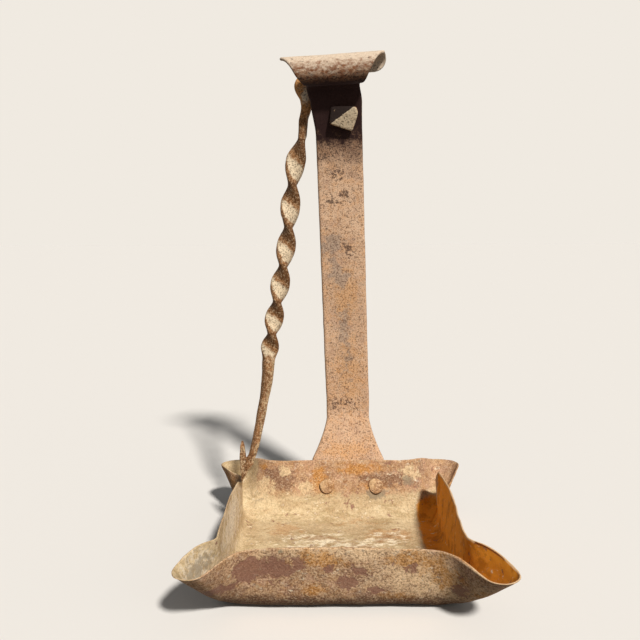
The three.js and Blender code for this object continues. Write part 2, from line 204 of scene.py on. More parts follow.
def rustedIron(name, look):
    # Hot-forged wrought iron, rusted dry: matt earth colours, with no bare metal that shines. Layers lie over a ground
    # colour. A layer shows as its own noise, or a painted field broken up by that noise, passes from one level to
    # another. It may follow the noise's middle line as a vein, be kept to one field, and raise or sink the surface.
    # Layers with the same size and detail share one noise, so that hollows are dark and tops pale.
    material = bpy.data.materials.new(name)
    tree = bareTree(material)
    place = add(tree, "TexCoord").outputs["Object"]
    colour, rough, height = linear(look["ground"]), look["rough"], 0.0
    noises, painted = {}, {}
    for layer in look["layers"]:
        kind = size, detail, stretch = layer["size"], layer.get("detail", 5.0), layer.get("stretch", (1, 1, 1))
        if kind not in noises:
            at = add(tree, "VectorMath", {0: place, 1: stretch}, operation="MULTIPLY").outputs[0]
            cellsPerMetre = 1000 / size
            noises[kind] = add(tree, "TexNoise", {
                "Vector": at, "Scale": cellsPerMetre, "Detail": detail, "Roughness": 0.7}).outputs[0]
        grain = noises[kind]
        for field in (layer.get("field"), layer.get("only")):
            if field and field not in painted:
                painted[field] = add(tree, "Attribute", attribute_name=field).outputs["Fac"]
        low, high = layer["from"], layer["to"]
        if "field" in layer:
            # the noise lies about a half, so the levels move by as much as ragged times a half adds to the field
            ragged = layer["ragged"]
            grain = add(tree, "Math", {0: grain, 1: ragged, 2: painted[layer["field"]]},
                        operation="MULTIPLY_ADD").outputs[0]
            low, high = low + ragged / 2, high + ragged / 2
        if layer.get("vein"):
            grain = add(tree, "Math", {0: grain, 1: 0.5}, operation="SUBTRACT").outputs[0]
            grain = add(tree, "Math", {0: grain}, operation="ABSOLUTE").outputs[0]
        mask = add(tree, "MapRange", {
            "Value": grain, "From Min": low, "From Max": high, "To Max": layer.get("amount", 1.0),
        }, interpolation_type="SMOOTHSTEP").outputs[0]
        if "only" in layer:
            mask = add(tree, "Math", {0: mask, 1: painted[layer["only"]]}, operation="MULTIPLY").outputs[0]
        if "colour" in layer:
            colour = add(tree, "Mix", {0: mask, 6: colour, 7: linear(layer["colour"])}, data_type="RGBA").outputs[2]
        if "rough" in layer:
            rough = add(tree, "Mix", {0: mask, 2: rough, 3: layer["rough"]}).outputs[0]
        if "rise" in layer:
            height = add(tree, "Math", {0: mask, 1: layer["rise"], 2: height}, operation="MULTIPLY_ADD").outputs[0]
    bump = add(tree, "Bump", {"Height": height, "Distance": mm, "Strength": 1.0}).outputs[0]
    shader = add(tree, "BsdfPrincipled", {
        "Base Color": colour, "Roughness": rough, "Normal": bump, "Specular IOR Level": look["gloss"]})
    add(tree, "OutputMaterial", {"Surface": shader.outputs[0]})
    return material


# The dish: one pan of sheet iron, rolled up at its ends, folded up at its sides, with a pinched spout at each corner.
dish = {
    "sheet": 1.4, "rimSheet": 0.75,  # thickness at the floor and at the rim
    "halfWidth": 56.5, "halfDepth": 58.5, "wallHeight": 32.6,
    "wallLean": 10,  # degrees, of the end walls only
    "endRoll": 11.7, "sideRoll": 6, "floorCorner": 6,  # bends under the end and side walls, flat floor's corners
    # each spout's tip: its radius, the directions where its arc starts and ends, where its curve leaves the end wall,
    # and the lengths of the curves' handles as shares of the run along the side wall (two) and the end wall (two)
    "tipRadius": 8.8, "tipArc": (-15, 138), "rootEnd": 21.5, "handles": (0.5, 1.25, 0.42, 0.52),
    # in each spout: how far out to the rim the bend starts, over how many points its line is smoothed, how far up the
    # wall it reaches, how late all this sets in, and between which distances past the walls the rim dips
    "spoutKnee": 0.25, "kneeBlur": 71, "spoutBend": 0.92, "spoutOnset": 1.5, "dipBetween": (-6, 22),
    # which corner, its tip's centre beyond the side and end walls, its dip below the rim, where it leaves the side
    # wall, and how far the lip next to that wall sinks between four distances along the rim from the side's middle
    "spouts": [(1, 1, 7.2, 12, 6.2, 9, 13.5, (39, 58, 58, 76)), (-1, 1, 6.2, 10.5, 6.2, 13.5, 6, (20, 42, 48, 70)),
               (-1, -1, 6.4, 10.5, 4.6, 13.5, 0, (0, 1, 2, 3)), (1, -1, 7.8, 12.5, 4.6, 13.5, 0, (0, 1, 2, 3))],
    "straightSteps": 16, "cornerSteps": 92, "floorSteps": 14, "rollSteps": 14, "wallSteps": 22,
    "firstRing": 0.03, "rimRound": 0.3,  # the floor's smallest ring, as a share, and where the rim's rounding starts
    # size and depth of the hammered waves, of each face's own pits, and of the rim's wear, which ends just below it
    "hammer": [(24, 0.45), (9, 0.26), (4, 0.1)], "pits": [(2.6, 0.06), (1.5, 0.035)],
    "rimWear": [(5, 0.08), (1.8, 0.08)], "rimWearPower": 20,
    # how much flatter the sheet is behind the strap's foot, from where back, how far to each side, and the share of
    # the pits that stays there
    "calm": 0.92, "calmBack": (44, 52), "calmAcross": (24, 34), "pitsKept": 0.3,
    "leastFloor": 1.0,  # how high the inner face stays at least
    # rows of x, y, z, three reaches and a push
    "dents": [(57, -34, 32, 9, 22, 22, -0.5, 0, 0), (57, 8, 32, 9, 34, 22, 1.6, 0, 0),
              (-57, 0, 32, 9, 42, 24, -0.4, 0, 0), (8, 58, 33, 62, 8, 9, 0, 0, 0.9),
              (-4, -58, 33, 46, 8, 9, 0, 0, 0.7)],
    # painted fields, each kept to one face: rows of x, y, z and three reaches
    "outside": {
        "crust": [(-42, -56, 22.5, 17, 9, 8.5), (-28, -56, 23.5, 15, 9, 8), (-54, -60, 16, 12, 9, 6),
                  (-6, -56, 23, 4, 9, 4.5), (8, -56, 21.5, 3.4, 9, 3), (31, -56, 24, 3, 9, 4.5),
                  (2, -56, 16, 9, 9, 3.4), (14, -56, 12, 7, 9, 3), (52, -60, 15, 8, 9, 4), (-66, 66, 18, 12, 12, 12)],
        # the last row of orange and of tan is painted reflected light: the front right spout's outside, which turns
        # away from the light, painted warmer and paler
        "orange": [(46, -58, 22, 20, 12, 16), (30, -56, 28, 18, 12, 7), (-10, -56, 28, 20, 12, 8),
                   (-13, -56, 12, 9, 12, 6), (24, -56, 8, 14, 12, 5), (-64, 66, 18, 22, 22, 22),
                   (66, 66, 18, 16, 16, 16), (64, -66, 16, 14, 14, 9)],
        "tan": [(38, -57, 19, 46, 12, 22), (4, -57, 31, 60, 12, 7), (62, -64, 21, 15, 14, 11)],
    },
    "inside": {
        "orange": [(-12, 56, 21, 8, 8, 14), (-11, 56, 24, 6, 8, 11), (-6, 54, 13, 7, 8, 6),
                   (12, 57, 28, 20, 8, 6), (-46, 57, 29, 8, 10, 6), (20, 56, 19, 12, 8, 7)],
        "brown": [(-33, 57, 21, 12, 10, 8), (-38, 57, 25, 9, 10, 6), (26, 57, 22, 22, 10, 6)],
        "grey": [(22, 55, 14, 10, 8, 5), (41, 56, 21, 5, 8, 5), (-61, -59, 22, 10, 16, 11)],
        "islands": [(-32, 57, 27, 6, 8, 5), (-20, 57, 18, 9, 8, 7), (45, 57, 25, 10, 8, 7),
                    (-46, 56, 17, 12, 8, 8), (40, 57, 27, 7, 8, 4)],
        "floorRust": [(28, 26, 2, 24, 16, 8), (-30, 32, 2, 16, 16, 8), (10, 40, 4, 26, 10, 6)],
        "bright": [(-12, 19, 1.4, 28, 14, 5), (24, 21, 1.4, 20, 15, 5), (2, 12, 1.4, 48, 13, 5)],
        "chalk": [(-57, 0, 20, 9, 62, 22), (-60, -58, 22, 18, 18, 14), (-58, 56, 22, 8, 12, 12)],
    },
    "oilLine": (7, 19), "leftWall": (-52, -46),  # cream below the oil line and all over the left wall
    # amber covers the right wall and the floor beside it: painted reflected light, the warm glow in that wall's shade,
    # whose edge follows the wall's shadow. Behind this y and above this z its edge leans out by so much for each mm
    # up, and on the back wall, which lies behind these y, it fades out between these heights.
    "amberSide": (43, 48), "amberSlope": (40, 9, 0.65), "amberUpTo": (8, 12.5), "amberBack": (38, 44),
    "lowUpTo": (2, 15),  # heights between which the outside's dark foot fades out
    # where the rim's pale edge starts, as a share of the way up, how pale it is, in general and on the right
    # wall, where that wall starts, and where its back end is. The pale edge is wear with a painted highlight on it,
    # strongest along the right wall's rim, where the light catches it.
    "rimFrom": 0.96, "rimPale": (0.6, 1), "palerRight": (50, 56), "palerUpTo": (42, 52),
    "gritLess": (0.3, 0.25, 0.6),  # inside, in the cream, and in the amber
    # Outside, tan and pinkish rust with smooth purple-brown scale left in patches. Inside, a cream crust of dried fat
    # and dust up to the old oil line, brown and orange above it, and amber on the right wall, painted as the warm
    # reflected light in that wall's shade.
    "ground": "b8926f", "rough": 0.86, "gloss": 0.2,
    "layers": [
        {"size": 26, "from": 0.43, "to": 0.57, "colour": "c6a07a", "amount": 0.6},
        {"size": 10, "from": 0.5, "to": 0.59, "colour": "94705c", "amount": 0.55},
        {"size": 7, "from": 0.5, "to": 0.42, "colour": "c79c80", "amount": 0.5},
        {"size": 4, "from": 0.51, "to": 0.6, "colour": "b07f4e", "amount": 0.5},
        {"field": "tan", "size": 9, "ragged": 1.4, "from": 0.1, "to": 0.8, "colour": "ecca9f", "amount": 0.85},
        {"field": "orange", "size": 5, "ragged": 2.4, "from": 0.2, "to": 0.75, "colour": "c6883a", "amount": 0.75},
        {"field": "brown", "size": 5, "ragged": 2.2, "from": 0.2, "to": 0.5, "colour": "83614a", "amount": 0.8},
        {"field": "cream", "size": 5, "ragged": 1.8, "from": 0.2, "to": 0.7, "colour": "c3ac86", "amount": 0.95},
        {"only": "cream", "size": 14, "stretch": (0.5, 1, 1), "from": 0.44, "to": 0.58,
         "colour": "dcc9a2", "amount": 0.65},
        {"only": "cream", "size": 5.5, "stretch": (0.4, 1, 1), "from": 0.5, "to": 0.42,
         "colour": "a38c62", "amount": 0.55},
        {"only": "cream", "size": 3, "from": 0.52, "to": 0.6, "colour": "a9844e", "amount": 0.4},
        {"field": "chalk", "size": 3, "ragged": 3.4, "from": 0.2, "to": 0.9, "colour": "e6dcc8", "amount": 0.75},
        # painted reflected light: amber where the right wall's shade lies
        {"field": "amberShade", "size": 7, "ragged": 1.0, "from": 0.2, "to": 0.7, "colour": "e89a2e", "amount": 1.0},
        {"only": "amberShade", "size": 9, "from": 0.48, "to": 0.6, "colour": "b06a10", "amount": 0.65},
        {"field": "islands", "size": 4, "ragged": 2.2, "from": 0.28, "to": 0.5,
         "colour": "e0c69c", "amount": 0.8, "rise": 0.12},
        {"field": "floorRust", "size": 4, "ragged": 2.2, "stretch": (0.6, 1, 1), "from": 0.3, "to": 0.8,
         "colour": "b98551", "amount": 0.5},
        {"field": "bright", "size": 2.6, "ragged": 4.4, "stretch": (0.5, 1, 1), "from": 0.44, "to": 1.0,
         "colour": "f6e9cb", "amount": 0.9, "rise": 0.06},
        {"field": "bright", "size": 3.3, "ragged": 4.0, "stretch": (0.35, 1, 1), "from": 0.7, "to": 1.1,
         "colour": "94683a", "amount": 0.65},
        {"field": "low", "size": 5, "ragged": 2.0, "from": 0.2, "to": 0.9, "colour": "60422f", "amount": 0.8},
        {"only": "grit", "size": 2.2, "from": 0.5, "to": 0.4, "colour": "7c5a42", "amount": 0.35, "rise": -0.14},
        {"only": "grit", **grit, "from": 0.5, "to": 0.38, "colour": "5a3d2c", "amount": 0.6, "rise": -0.16},
        {"only": "grit", **grit, "from": 0.51, "to": 0.63, "colour": "efd6b2", "amount": 0.42, "rise": 0.16},
        {"field": "crust", "size": 6, "ragged": 2.6, "from": 0.31, "to": 0.43,
         "colour": "8a6150", "amount": 0.8, "rough": 0.66, "rise": -0.14},
        {"field": "grey", "size": 4, "ragged": 2.4, "from": 0.25, "to": 0.6, "colour": "8c806c", "amount": 0.7},
        # the rim's edge, worn and painted paler as a highlight, most along the right wall
        {"field": "edge", "size": 3, "ragged": 1.2, "from": 0.5, "to": 0.95,
         "colour": "dcbd95", "amount": 0.75, "rough": 0.7},
    ],
}


def cubic(a, b, c, d, t):
    # a cubic Bezier curve: the four points weighted by the powers of t and 1 - t
    t = t[:, None]
    s = 1 - t
    return s ** 3 * np.array(a) + 3 * s * s * t * np.array(b) + 3 * s * t * t * np.array(c) + t ** 3 * np.array(d)


def rimCorner(outX, outY, rootSide):
    # The rim round one corner in plan: a curve out from the side wall, an arc round the tip, and a curve back to the
    # end wall, as evenly spaced points.
    radius, width, depth = dish["tipRadius"], dish["halfWidth"], dish["halfDepth"]
    side, end = rootSide, dish["rootEnd"]
    sideFirst, sideLast, endFirst, endLast = dish["handles"]
    first, last = rad(dish["tipArc"])

    def on(angle, along):
        # a point of the tip's circle, moved along its tangent there
        return (width + outX + radius * np.cos(angle) - along * np.sin(angle),
                depth + outY + radius * np.sin(angle) + along * np.cos(angle))

    t = np.linspace(0, 1, 400)
    out = cubic((width, depth - side), (width, depth - side * sideFirst), on(first, -side * sideLast), on(first, 0), t)
    tip = np.stack(on(mix(first, last, t), 0), -1)
    back = cubic(on(last, 0), on(last, end * endFirst), (width - end * endLast, depth), (width - end, depth), t)
    path = np.concatenate([out, tip[1:], back[1:]])
    run = distances(path)
    even = np.linspace(0, run[-1], dish["cornerSteps"] + 1)
    return np.stack([np.interp(even, run, path[:, k]) for k in (0, 1)], -1)


def dishQuarter(outX, outY, rootSide):
    # In plan: points along the rim, the edge of the flat floor that each pairs with, and how far round the corner
    steps, c = dish["straightSteps"], dish["floorCorner"]
    setBack = dish["wallHeight"] * np.tan(rad(dish["wallLean"]))
    floorX = dish["halfWidth"] - dish["sideRoll"]
    floorY = dish["halfDepth"] - setBack - dish["endRoll"]
    t = np.arange(steps)[:, None] / steps
    side = np.hstack([np.full_like(t, dish["halfWidth"]), (dish["halfDepth"] - rootSide) * t])
    sideFloor = np.hstack([np.full_like(t, floorX), (floorY - c) * t])
    part = np.linspace(0, 1, dish["cornerSteps"] + 1)
    cornerFloor = np.stack([floorX - c + c * np.cos(part * np.pi / 2), floorY - c + c * np.sin(part * np.pi / 2)], -1)
    t = 1 - np.arange(1, steps + 1)[:, None] / steps
    end = np.hstack([(dish["halfWidth"] - dish["rootEnd"]) * t, np.full_like(t, dish["halfDepth"])])
    endFloor = np.hstack([(floorX - c) * t, np.full_like(t, floorY)])
    rim = np.concatenate([side, rimCorner(outX, outY, rootSide), end])
    floor = np.concatenate([sideFloor, cornerFloor, endFloor])
    corner = np.concatenate([np.zeros(steps), part, np.ones(steps)])
    return rim, floor, corner


def dishProfiles(spout, inset):
    # One face of the sheet over a quarter: out from the floor's middle to the flat floor's edge, a rolled bend (a
    # parabola from there up the wall, whose corner is the knee), then straight up the wall. Under the walls the knee
    # is the wall's foot. In a spout it lies between the floor's edge and the rim, and the bend takes most of the wall.
    signX, signY, outX, outY, dip, rootSide, sink, (sinkFrom, sunk, riseFrom, risen) = spout
    rim, floor, corner = dishQuarter(outX, outY, rootSide)
    along = np.gradient(rim, axis=0)
    normal = np.stack([along[:, 1], -along[:, 0]], -1)
    normal /= np.linalg.norm(normal, axis=1, keepdims=True)
    beyond = (rim[:, 0] - dish["halfWidth"] + rim[:, 1] - dish["halfDepth"]) / np.sqrt(2)
    edge = rim - normal * (inset * dish["rimSheet"] / dish["sheet"])
    pinch = np.sin(np.pi * corner)[:, None] ** dish["spoutOnset"]
    setBack = dish["wallHeight"] * np.tan(rad(dish["wallLean"])) * corner
    foot = rim - normal * inset - np.stack([np.zeros_like(setBack), setBack], -1)
    knee = mix(foot, mix(floor, edge, dish["spoutKnee"]), pinch)
    # the knee's line in plan is smoothed and never runs back on itself, because the sheet would fold there
    knee = np.stack([np.minimum.accumulate(knee[:, 0]), np.minimum.accumulate(knee[::-1, 1])[::-1]], -1)
    blur = np.hanning(dish["kneeBlur"]) / np.hanning(dish["kneeBlur"]).sum()
    wide = np.pad(knee, ((len(blur) // 2,) * 2, (0, 0)), "reflect", reflect_type="odd")
    knee = np.stack([np.convolve(wide[:, k], blur, "valid") for k in (0, 1)], -1)
    lift = np.full((len(rim), 1), float(inset))
    knee, start = np.hstack([knee, lift]), np.hstack([floor, lift])
    top = dish["wallHeight"] - dip * ease(beyond, *dish["dipBetween"])
    run = distances(rim)
    top = top - sink * (ease(run, sinkFrom, sunk) - ease(run, riseFrom, risen))
    edge = np.hstack([edge, top[:, None]])
    wall = edge - knee
    length = np.linalg.norm(wall, axis=1, keepdims=True)
    rolled = mix(mix(dish["sideRoll"], dish["endRoll"], corner[:, None]) / length, dish["spoutBend"], pinch)
    below = np.maximum(1 - dish["rimRound"] / length, rolled)
    flat = [start * (t, t, 1) for t in np.linspace(dish["firstRing"], 1, dish["floorSteps"], endpoint=False)]
    bend = [mix(mix(start, knee, t), mix(knee, knee + wall * rolled, t), t)
            for t in np.linspace(0, 1, dish["rollSteps"])]
    rise = [knee + wall * mix(rolled, below, t) for t in np.linspace(0, 1, dish["wallSteps"] + 1)[1:]]
    return np.stack(flat + bend + rise + [edge]) * (signX, signY, 1)


def dishFace(inset):
    # the four quarters joined anticlockwise from the right, as rings from the floor's middle out to the rim
    runs = []
    for spout in dish["spouts"]:
        run = dishProfiles(spout, inset)
        runs.append((run if spout[0] * spout[1] > 0 else run[:, ::-1])[:, :-1])
    return np.concatenate(runs, 1)


def dishFields(grid, side, up):
    # what is painted on each point, from 0 to 1: listed places, the oil line, amber as painted reflected light in the
    # right wall's shade with its slope, and the rim's wear with a painted highlight
    x, y, z = np.moveaxis(grid, -1, 0)
    out, into = 1 - side, side
    # amber is painted reflected light in the right wall's shade: its edge leans out along that wall's shadow, and it
    # fades out higher up on the back wall, where that shadow ends
    slopeBack, slopeFoot, slopeOut = dish["amberSlope"]
    slope = np.where(y > slopeBack, slopeOut * np.maximum(z - slopeFoot, 0), 0)
    notBack = 1 - ease(z, *dish["amberUpTo"]) * ease(y, *dish["amberBack"])
    amberShade = into * ease(x - slope, *dish["amberSide"]) * notBack
    left = 1 - ease(x, *dish["leftWall"])
    cream = into * np.maximum(1 - ease(z, *dish["oilLine"]), left) * (1 - amberShade)
    paler = ease(x, *dish["palerRight"]) * (1 - ease(y, *dish["palerUpTo"]))
    lessIn, lessCream, lessAmber = dish["gritLess"]
    fields = {name: spots(grid, places) * out for name, places in dish["outside"].items()}
    for name, places in dish["inside"].items():
        fields[name] = np.maximum(fields.get(name, 0), spots(grid, places) * into)
    return fields | {
        "cream": cream,
        "amberShade": amberShade,
        "low": out * (1 - ease(z, *dish["lowUpTo"])),
        "edge": ease(up + 0 * x, dish["rimFrom"], 1) * mix(*dish["rimPale"], paler),
        "grit": 1 - lessIn * into - lessCream * cream - lessAmber * amberShade,
    }


def buildDish():
    # The outer face's rings out to the rim, a half round over the rim's edge and the inner face's rings back in. Then
    # each point moves along the surface's direction by the hammer's waves, and the rim's wear and the dents follow.
    outer, inner = dishFace(0), dishFace(dish["sheet"])
    rows = len(outer)
    rimOut, rimIn, peak = outer[-2], inner[-2], (outer[-1] + inner[-1]) / 2
    turns = rad(np.array([45, 90, 135]))[:, None, None]
    middle = (rimOut + rimIn) / 2
    edge = middle + (rimOut - middle) * np.cos(turns) + (peak - middle) * np.sin(turns)
    grid = np.concatenate([outer[:-1], edge, inner[-2::-1]])
    # side is 0 on the outer face and 1 on the inner one, and up is 0 in the floor's middle and 1 at the rim
    side = np.concatenate([np.zeros(rows - 1), [0.25, 0.5, 0.75], np.ones(rows - 1)])[:, None] + np.zeros(grid.shape[1])
    up = np.concatenate([np.arange(rows - 1), np.full(3, rows - 2), np.arange(rows - 1)[::-1]])[:, None] / (rows - 2)
    # hammer marks push both faces the same way; they die out behind the handle's foot, where the two iron faces meet
    facing = outward(grid) * np.where(side > 0.5, -1, 1)[..., None]
    fromFoot = np.abs(grid[..., 0] - strap["footCentre"])
    calm = 1 - dish["calm"] * ease(grid[..., 1], *dish["calmBack"]) * (1 - ease(fromFoot, *dish["calmAcross"]))
    depth, own = waves(grid, dish["hammer"], seed=3), waves(grid, dish["pits"], seed=11)
    own = own * mix(dish["pitsKept"], 1, calm)
    grid = grid + facing * (depth * calm)[..., None] + outward(grid) * own[..., None]
    plan = grid * (1, 1, 0)
    worn = sum(depth * (1 + lumps(plan, size, seed=21 + k)) for k, (size, depth) in enumerate(dish["rimWear"]))
    grid[..., 2] -= worn * up ** dish["rimWearPower"]
    for dent in dish["dents"]:
        grid += ease(spots(grid, [dent[:6]]), 0, 1)[..., None] * np.array(dent[6:])
    # nothing goes under the table, or through the floor from above
    grid[..., 2] = np.maximum(grid[..., 2], np.where(side < 0.5, 0.0, dish["leastFloor"]))
    grid = insideBox(grid)
    finish = rustedIron("dry rusted wrought iron sheet", dish)
    skin("dish_sheet", grid, dishFields(grid, side, up), finish, "lamp", ["dish"])


# The handle: one iron strap, riveted behind the back wall, bent at the rim, and rolled over at its fishtail top.
strap = {
    "width": 25.4, "thick": 3, "footCentre": 5.2, "footWidth": 42.5, "footDrop": 23, "footRise": 25.5,
    "flareLength": 24.6, "flarePower": 1.4, "footCorner": 8, "bendRadius": 18, "lean": 6.7, "length": 180.5,
    "swayAngle": 1.87, "swayRamp": 15, "seatGap": 0.3,
    # the hole: half the size of the square of cells that goes, how far round it the cells move for it, and how fast
    # that fades
    "holeDrop": 12.2, "holeRadius": 3.9, "holeBlock": 2.9, "holeReach": 9, "holePower": 1.5,
    "neckRadius": 4, "neckTurn": 93.3, "neckRun": 3, "rollRadius": 6.5, "rollTurn": 292, "rollWidth": 55,
    "rollThick": 1.7, "rollCorner": 6, "rollTilt": 1.4, "rollShift": 2.6, "fishtailRun": 10, "fishtailPower": 2.2,
    # extra half width at the neck on each side and how far down it reaches; it is full and gone again at flareEnds
    "flareBelow": {"left": (2.3, 24), "right": (0.3, 20)}, "flareEnds": (-3, 8),
    # how much wider the rolled-back end stands at each side, from where it starts and is full past the crest
    "rollBack": {"left": -11, "right": 1.2}, "rollBackEnds": (-1, 7),
    # rings up to the neck and round the roll, which start just inside the ends, and points across and round an edge
    "rows": 400, "rollRows": 150, "endGap": 0.02, "across": 60, "round": 5, "edgeRound": 1.1,
    # size and depth of the hammered waves, of the pits, and of the waves along the two edges
    "hammer": [(17, 0.22), (6, 0.1)], "pits": [(2.4, 0.05)], "edgeWaves": (4.5, 0.22),
    # flat out to this far from the hole, and this far above the foot's drop; the share of the pits that stays there
    "calmHole": 16, "calmFoot": (1, 9), "pitsKept": 0.2,
    "noiseApart": 4,  # how far off the middle each face and each edge takes its noise, so that no two are alike
    # painted fields: rows of x, y, z and three reaches
    "places": {
        "dark": [(-0.8, 49, 198, 6, 9, 5), (3.8, 50, 187, 5, 9, 5), (-3, 50, 184, 7, 9, 3), (2, 60, 66, 17, 9, 6),
                 (5, 54, 158, 5, 9, 8)],
        "stain": [(2, 55, 112, 7, 9, 22), (4, 56, 92, 7, 9, 18), (-4, 52, 160, 8, 9, 16), (0, 53, 142, 10, 9, 12),
                  (3, 56, 78, 9, 9, 12)],
        "orange": [(5, 62, 38, 20, 14, 8), (6, 58, 84, 12, 12, 34), (-22, 30, 254, 16, 16, 8),
                   (6, 30, 252, 22, 14, 5), (4, 56, 130, 9, 12, 26)],
    },
    # how far from the neck, along the strip, each of these comes in and goes out; the soot band is soot with the
    # roll's shadow on the strap painted into it
    "bands": {"sootAndShadow": (-56, -12, 10.5, 22), "speckle": (9, 15, 20, 28), "dust": (12, 25, 60, 70)},
    # the roll's right end is painted light: its inner face lies in shade and is painted near white
    "rolledEndLight": (22, 24), "rolledPast": (2, 6),  # the bright right end of the roll, across and past its crest
    # how much less grit the dust shows, how far from the round edge the wear reaches, and how far off a face starts
    "dustyGrit": 0.65, "edgeWear": 1.3, "faceOff": 0.4,
    # Sooty purple-brown under the roll, painted darker still as the roll's shadow, and peach tan below, peppered all
    # over with fine dark pits, with thin wandering dark marks down its middle.
    "ground": "dab594", "rough": 0.82, "gloss": 0.2,
    "layers": [
        {"size": 30, "from": 0.44, "to": 0.56, "colour": "c8a07e", "amount": 0.55},
        {"size": 7, "from": 0.5, "to": 0.6, "colour": "b8937a", "amount": 0.5},
        {"size": 4, "from": 0.5, "to": 0.41, "colour": "d6a477", "amount": 0.5},
        {"field": "orange", "size": 6, "ragged": 2.0, "from": 0.1, "to": 0.7, "colour": "d29c64", "amount": 0.55},
        {"field": "stain", "size": 5, "ragged": 2.6, "from": 0.3, "to": 0.65, "colour": "97867a", "amount": 0.65},
        {"only": "stain", "size": 6, "vein": True, "from": 0.014, "to": 0.0, "colour": "6a5a4c", "amount": 0.75},
        {"field": "dust", "size": 3, "ragged": 1.4, "from": 0.2, "to": 0.7, "colour": "cfc0ac", "amount": 0.85},
        {"only": "grit", **grit, "from": 0.49, "to": 0.38,
         "colour": "57402f", "amount": 0.65, "rise": -0.1, "rough": 0.92},
        {"only": "grit", **grit, "from": 0.51, "to": 0.63, "colour": "f2dabb", "amount": 0.45, "rise": 0.08},
        {"field": "speckle", "size": 1.6, "ragged": 3.4, "stretch": (0.6, 1, 1), "from": 0.3, "to": 1.5,
         "colour": "7a4826", "amount": 0.95},
        {"field": "dark", "size": 1.6, "ragged": 5.0, "from": 0.5, "to": 0.85,
         "colour": "4e3a32", "amount": 0.8, "rise": -0.1},
        # soot, with the roll's painted shadow on the strap: darkest just under the roll
        {"field": "sootAndShadow", "size": 6, "ragged": 1.2, "from": 0.1, "to": 1.0, "colour": "644a3c", "amount": 0.8},
        {"field": "sootAndShadow", **grit, "ragged": 5.0, "from": 0.4, "to": 0.9,
         "colour": "301a14", "amount": 0.85, "rise": -0.05},
        {"field": "sootAndShadow", "size": 4, "ragged": 1.0, "from": 0.68, "to": 0.9, "colour": "220f0c", "amount": 1.0},
        # painted light on the inner face of the roll's right end, which lies in shade
        {"field": "rolledEndLight", "size": 3, "ragged": 1.0, "from": 0.3, "to": 0.6, "colour": "f0ebdd", "amount": 1.0},
        {"field": "edge", "size": 3, "ragged": 1.6, "from": 0.7, "to": 1.1,
         "colour": "b78d68", "amount": 0.4, "rough": 0.7},
    ],
}


def strapLine():
    # The middle line in the YZ plane: its lean changes evenly along each bend, and its place is the sum of small steps
    s = strap
    lengths = [s["footDrop"] + s["footRise"], s["bendRadius"] * rad(dish["wallLean"] + s["lean"]), s["length"],
               s["neckRadius"] * rad(s["neckTurn"]), s["neckRun"], s["rollRadius"] * rad(s["rollTurn"])]
    turns = [0, -(dish["wallLean"] + s["lean"]), 0, -s["neckTurn"], 0, s["rollTurn"]]
    knots = np.concatenate([[0], np.cumsum(lengths)])
    leans = dish["wallLean"] + np.concatenate([[0], np.cumsum(turns)])
    far = np.linspace(0, knots[-1], 8001)
    lean = np.interp(far, knots, leans)
    step = rad((lean[1:] + lean[:-1]) / 2)
    off = s["seatGap"] + s["thick"] / 2
    y0 = dish["halfDepth"] - s["footDrop"] * np.sin(rad(dish["wallLean"])) + off * np.cos(rad(dish["wallLean"]))
    z0 = dish["wallHeight"] - s["footDrop"] * np.cos(rad(dish["wallLean"])) - off * np.sin(rad(dish["wallLean"]))
    y = y0 + np.concatenate([[0], np.cumsum(np.sin(step) * far[1])])
    z = z0 + np.concatenate([[0], np.cumsum(np.cos(step) * far[1])])
    return knots, far, y, z, lean


# distances along the strap: its end, and where its bend ends, its neck starts and its roll is highest
line = strapLine()
strapEnd, bendFar, neckFar = line[0][-1], line[0][2], line[0][3]
crestRun = strap["neckRadius"] * rad(strap["neckTurn"]) + strap["neckRun"] + strap["rollRadius"] * np.pi
crestFar = neckFar + crestRun


def onLine(far):
    # the middle line's Y, Z and lean at a distance along it
    return [np.interp(far, line[1], values) for values in line[2:]]


def sway(points):
    # leans the strap to the left above its bend, by a turn about the bend that grows up to its full angle over the
    # ramp, and tilts and shifts the roll a little more
    s = strap
    bendZ, neckZ = onLine(bendFar)[1], onLine(neckFar)[1]
    x, y, z = np.moveaxis(points, -1, 0)
    rise = z - bendZ
    turn = rad(s["swayAngle"]) * np.clip(rise / s["swayRamp"], 0, 1)
    across = x - s["footCentre"]
    high = np.maximum(0, rise)
    newX = s["footCentre"] + across * np.cos(turn) - high * np.sin(turn)
    newZ = z + across * np.sin(turn) - high * (1 - np.cos(turn))
    roll = ease(newZ, neckZ - s["rollRadius"], neckZ + s["rollRadius"])
    return np.stack([newX - s["rollShift"] * roll, y, newZ + across * np.sin(rad(s["rollTilt"])) * roll], -1)


def strapWidth(far):
    # the plain width, plus the foot's flare, plus the fishtail's, less the rounded corners at both ends
    s = strap

    def corner(fromEnd, radius):
        # what a quarter circle takes off each side
        return radius - np.sqrt(radius ** 2 - np.clip(radius - fromEnd, 0, radius) ** 2)

    flare = np.clip((s["footDrop"] + s["footRise"] - far) / s["flareLength"], 0, 1) ** s["flarePower"]
    fan = np.clip((far - neckFar + s["fishtailRun"]) / (crestRun + s["fishtailRun"]), 0, None) ** s["fishtailPower"]
    return (s["width"] + (s["footWidth"] - s["width"]) * flare - 2 * corner(far, s["footCorner"])
            + (s["rollWidth"] - s["width"]) * np.minimum(1, fan) - 2 * corner(strapEnd - far, s["rollCorner"]))


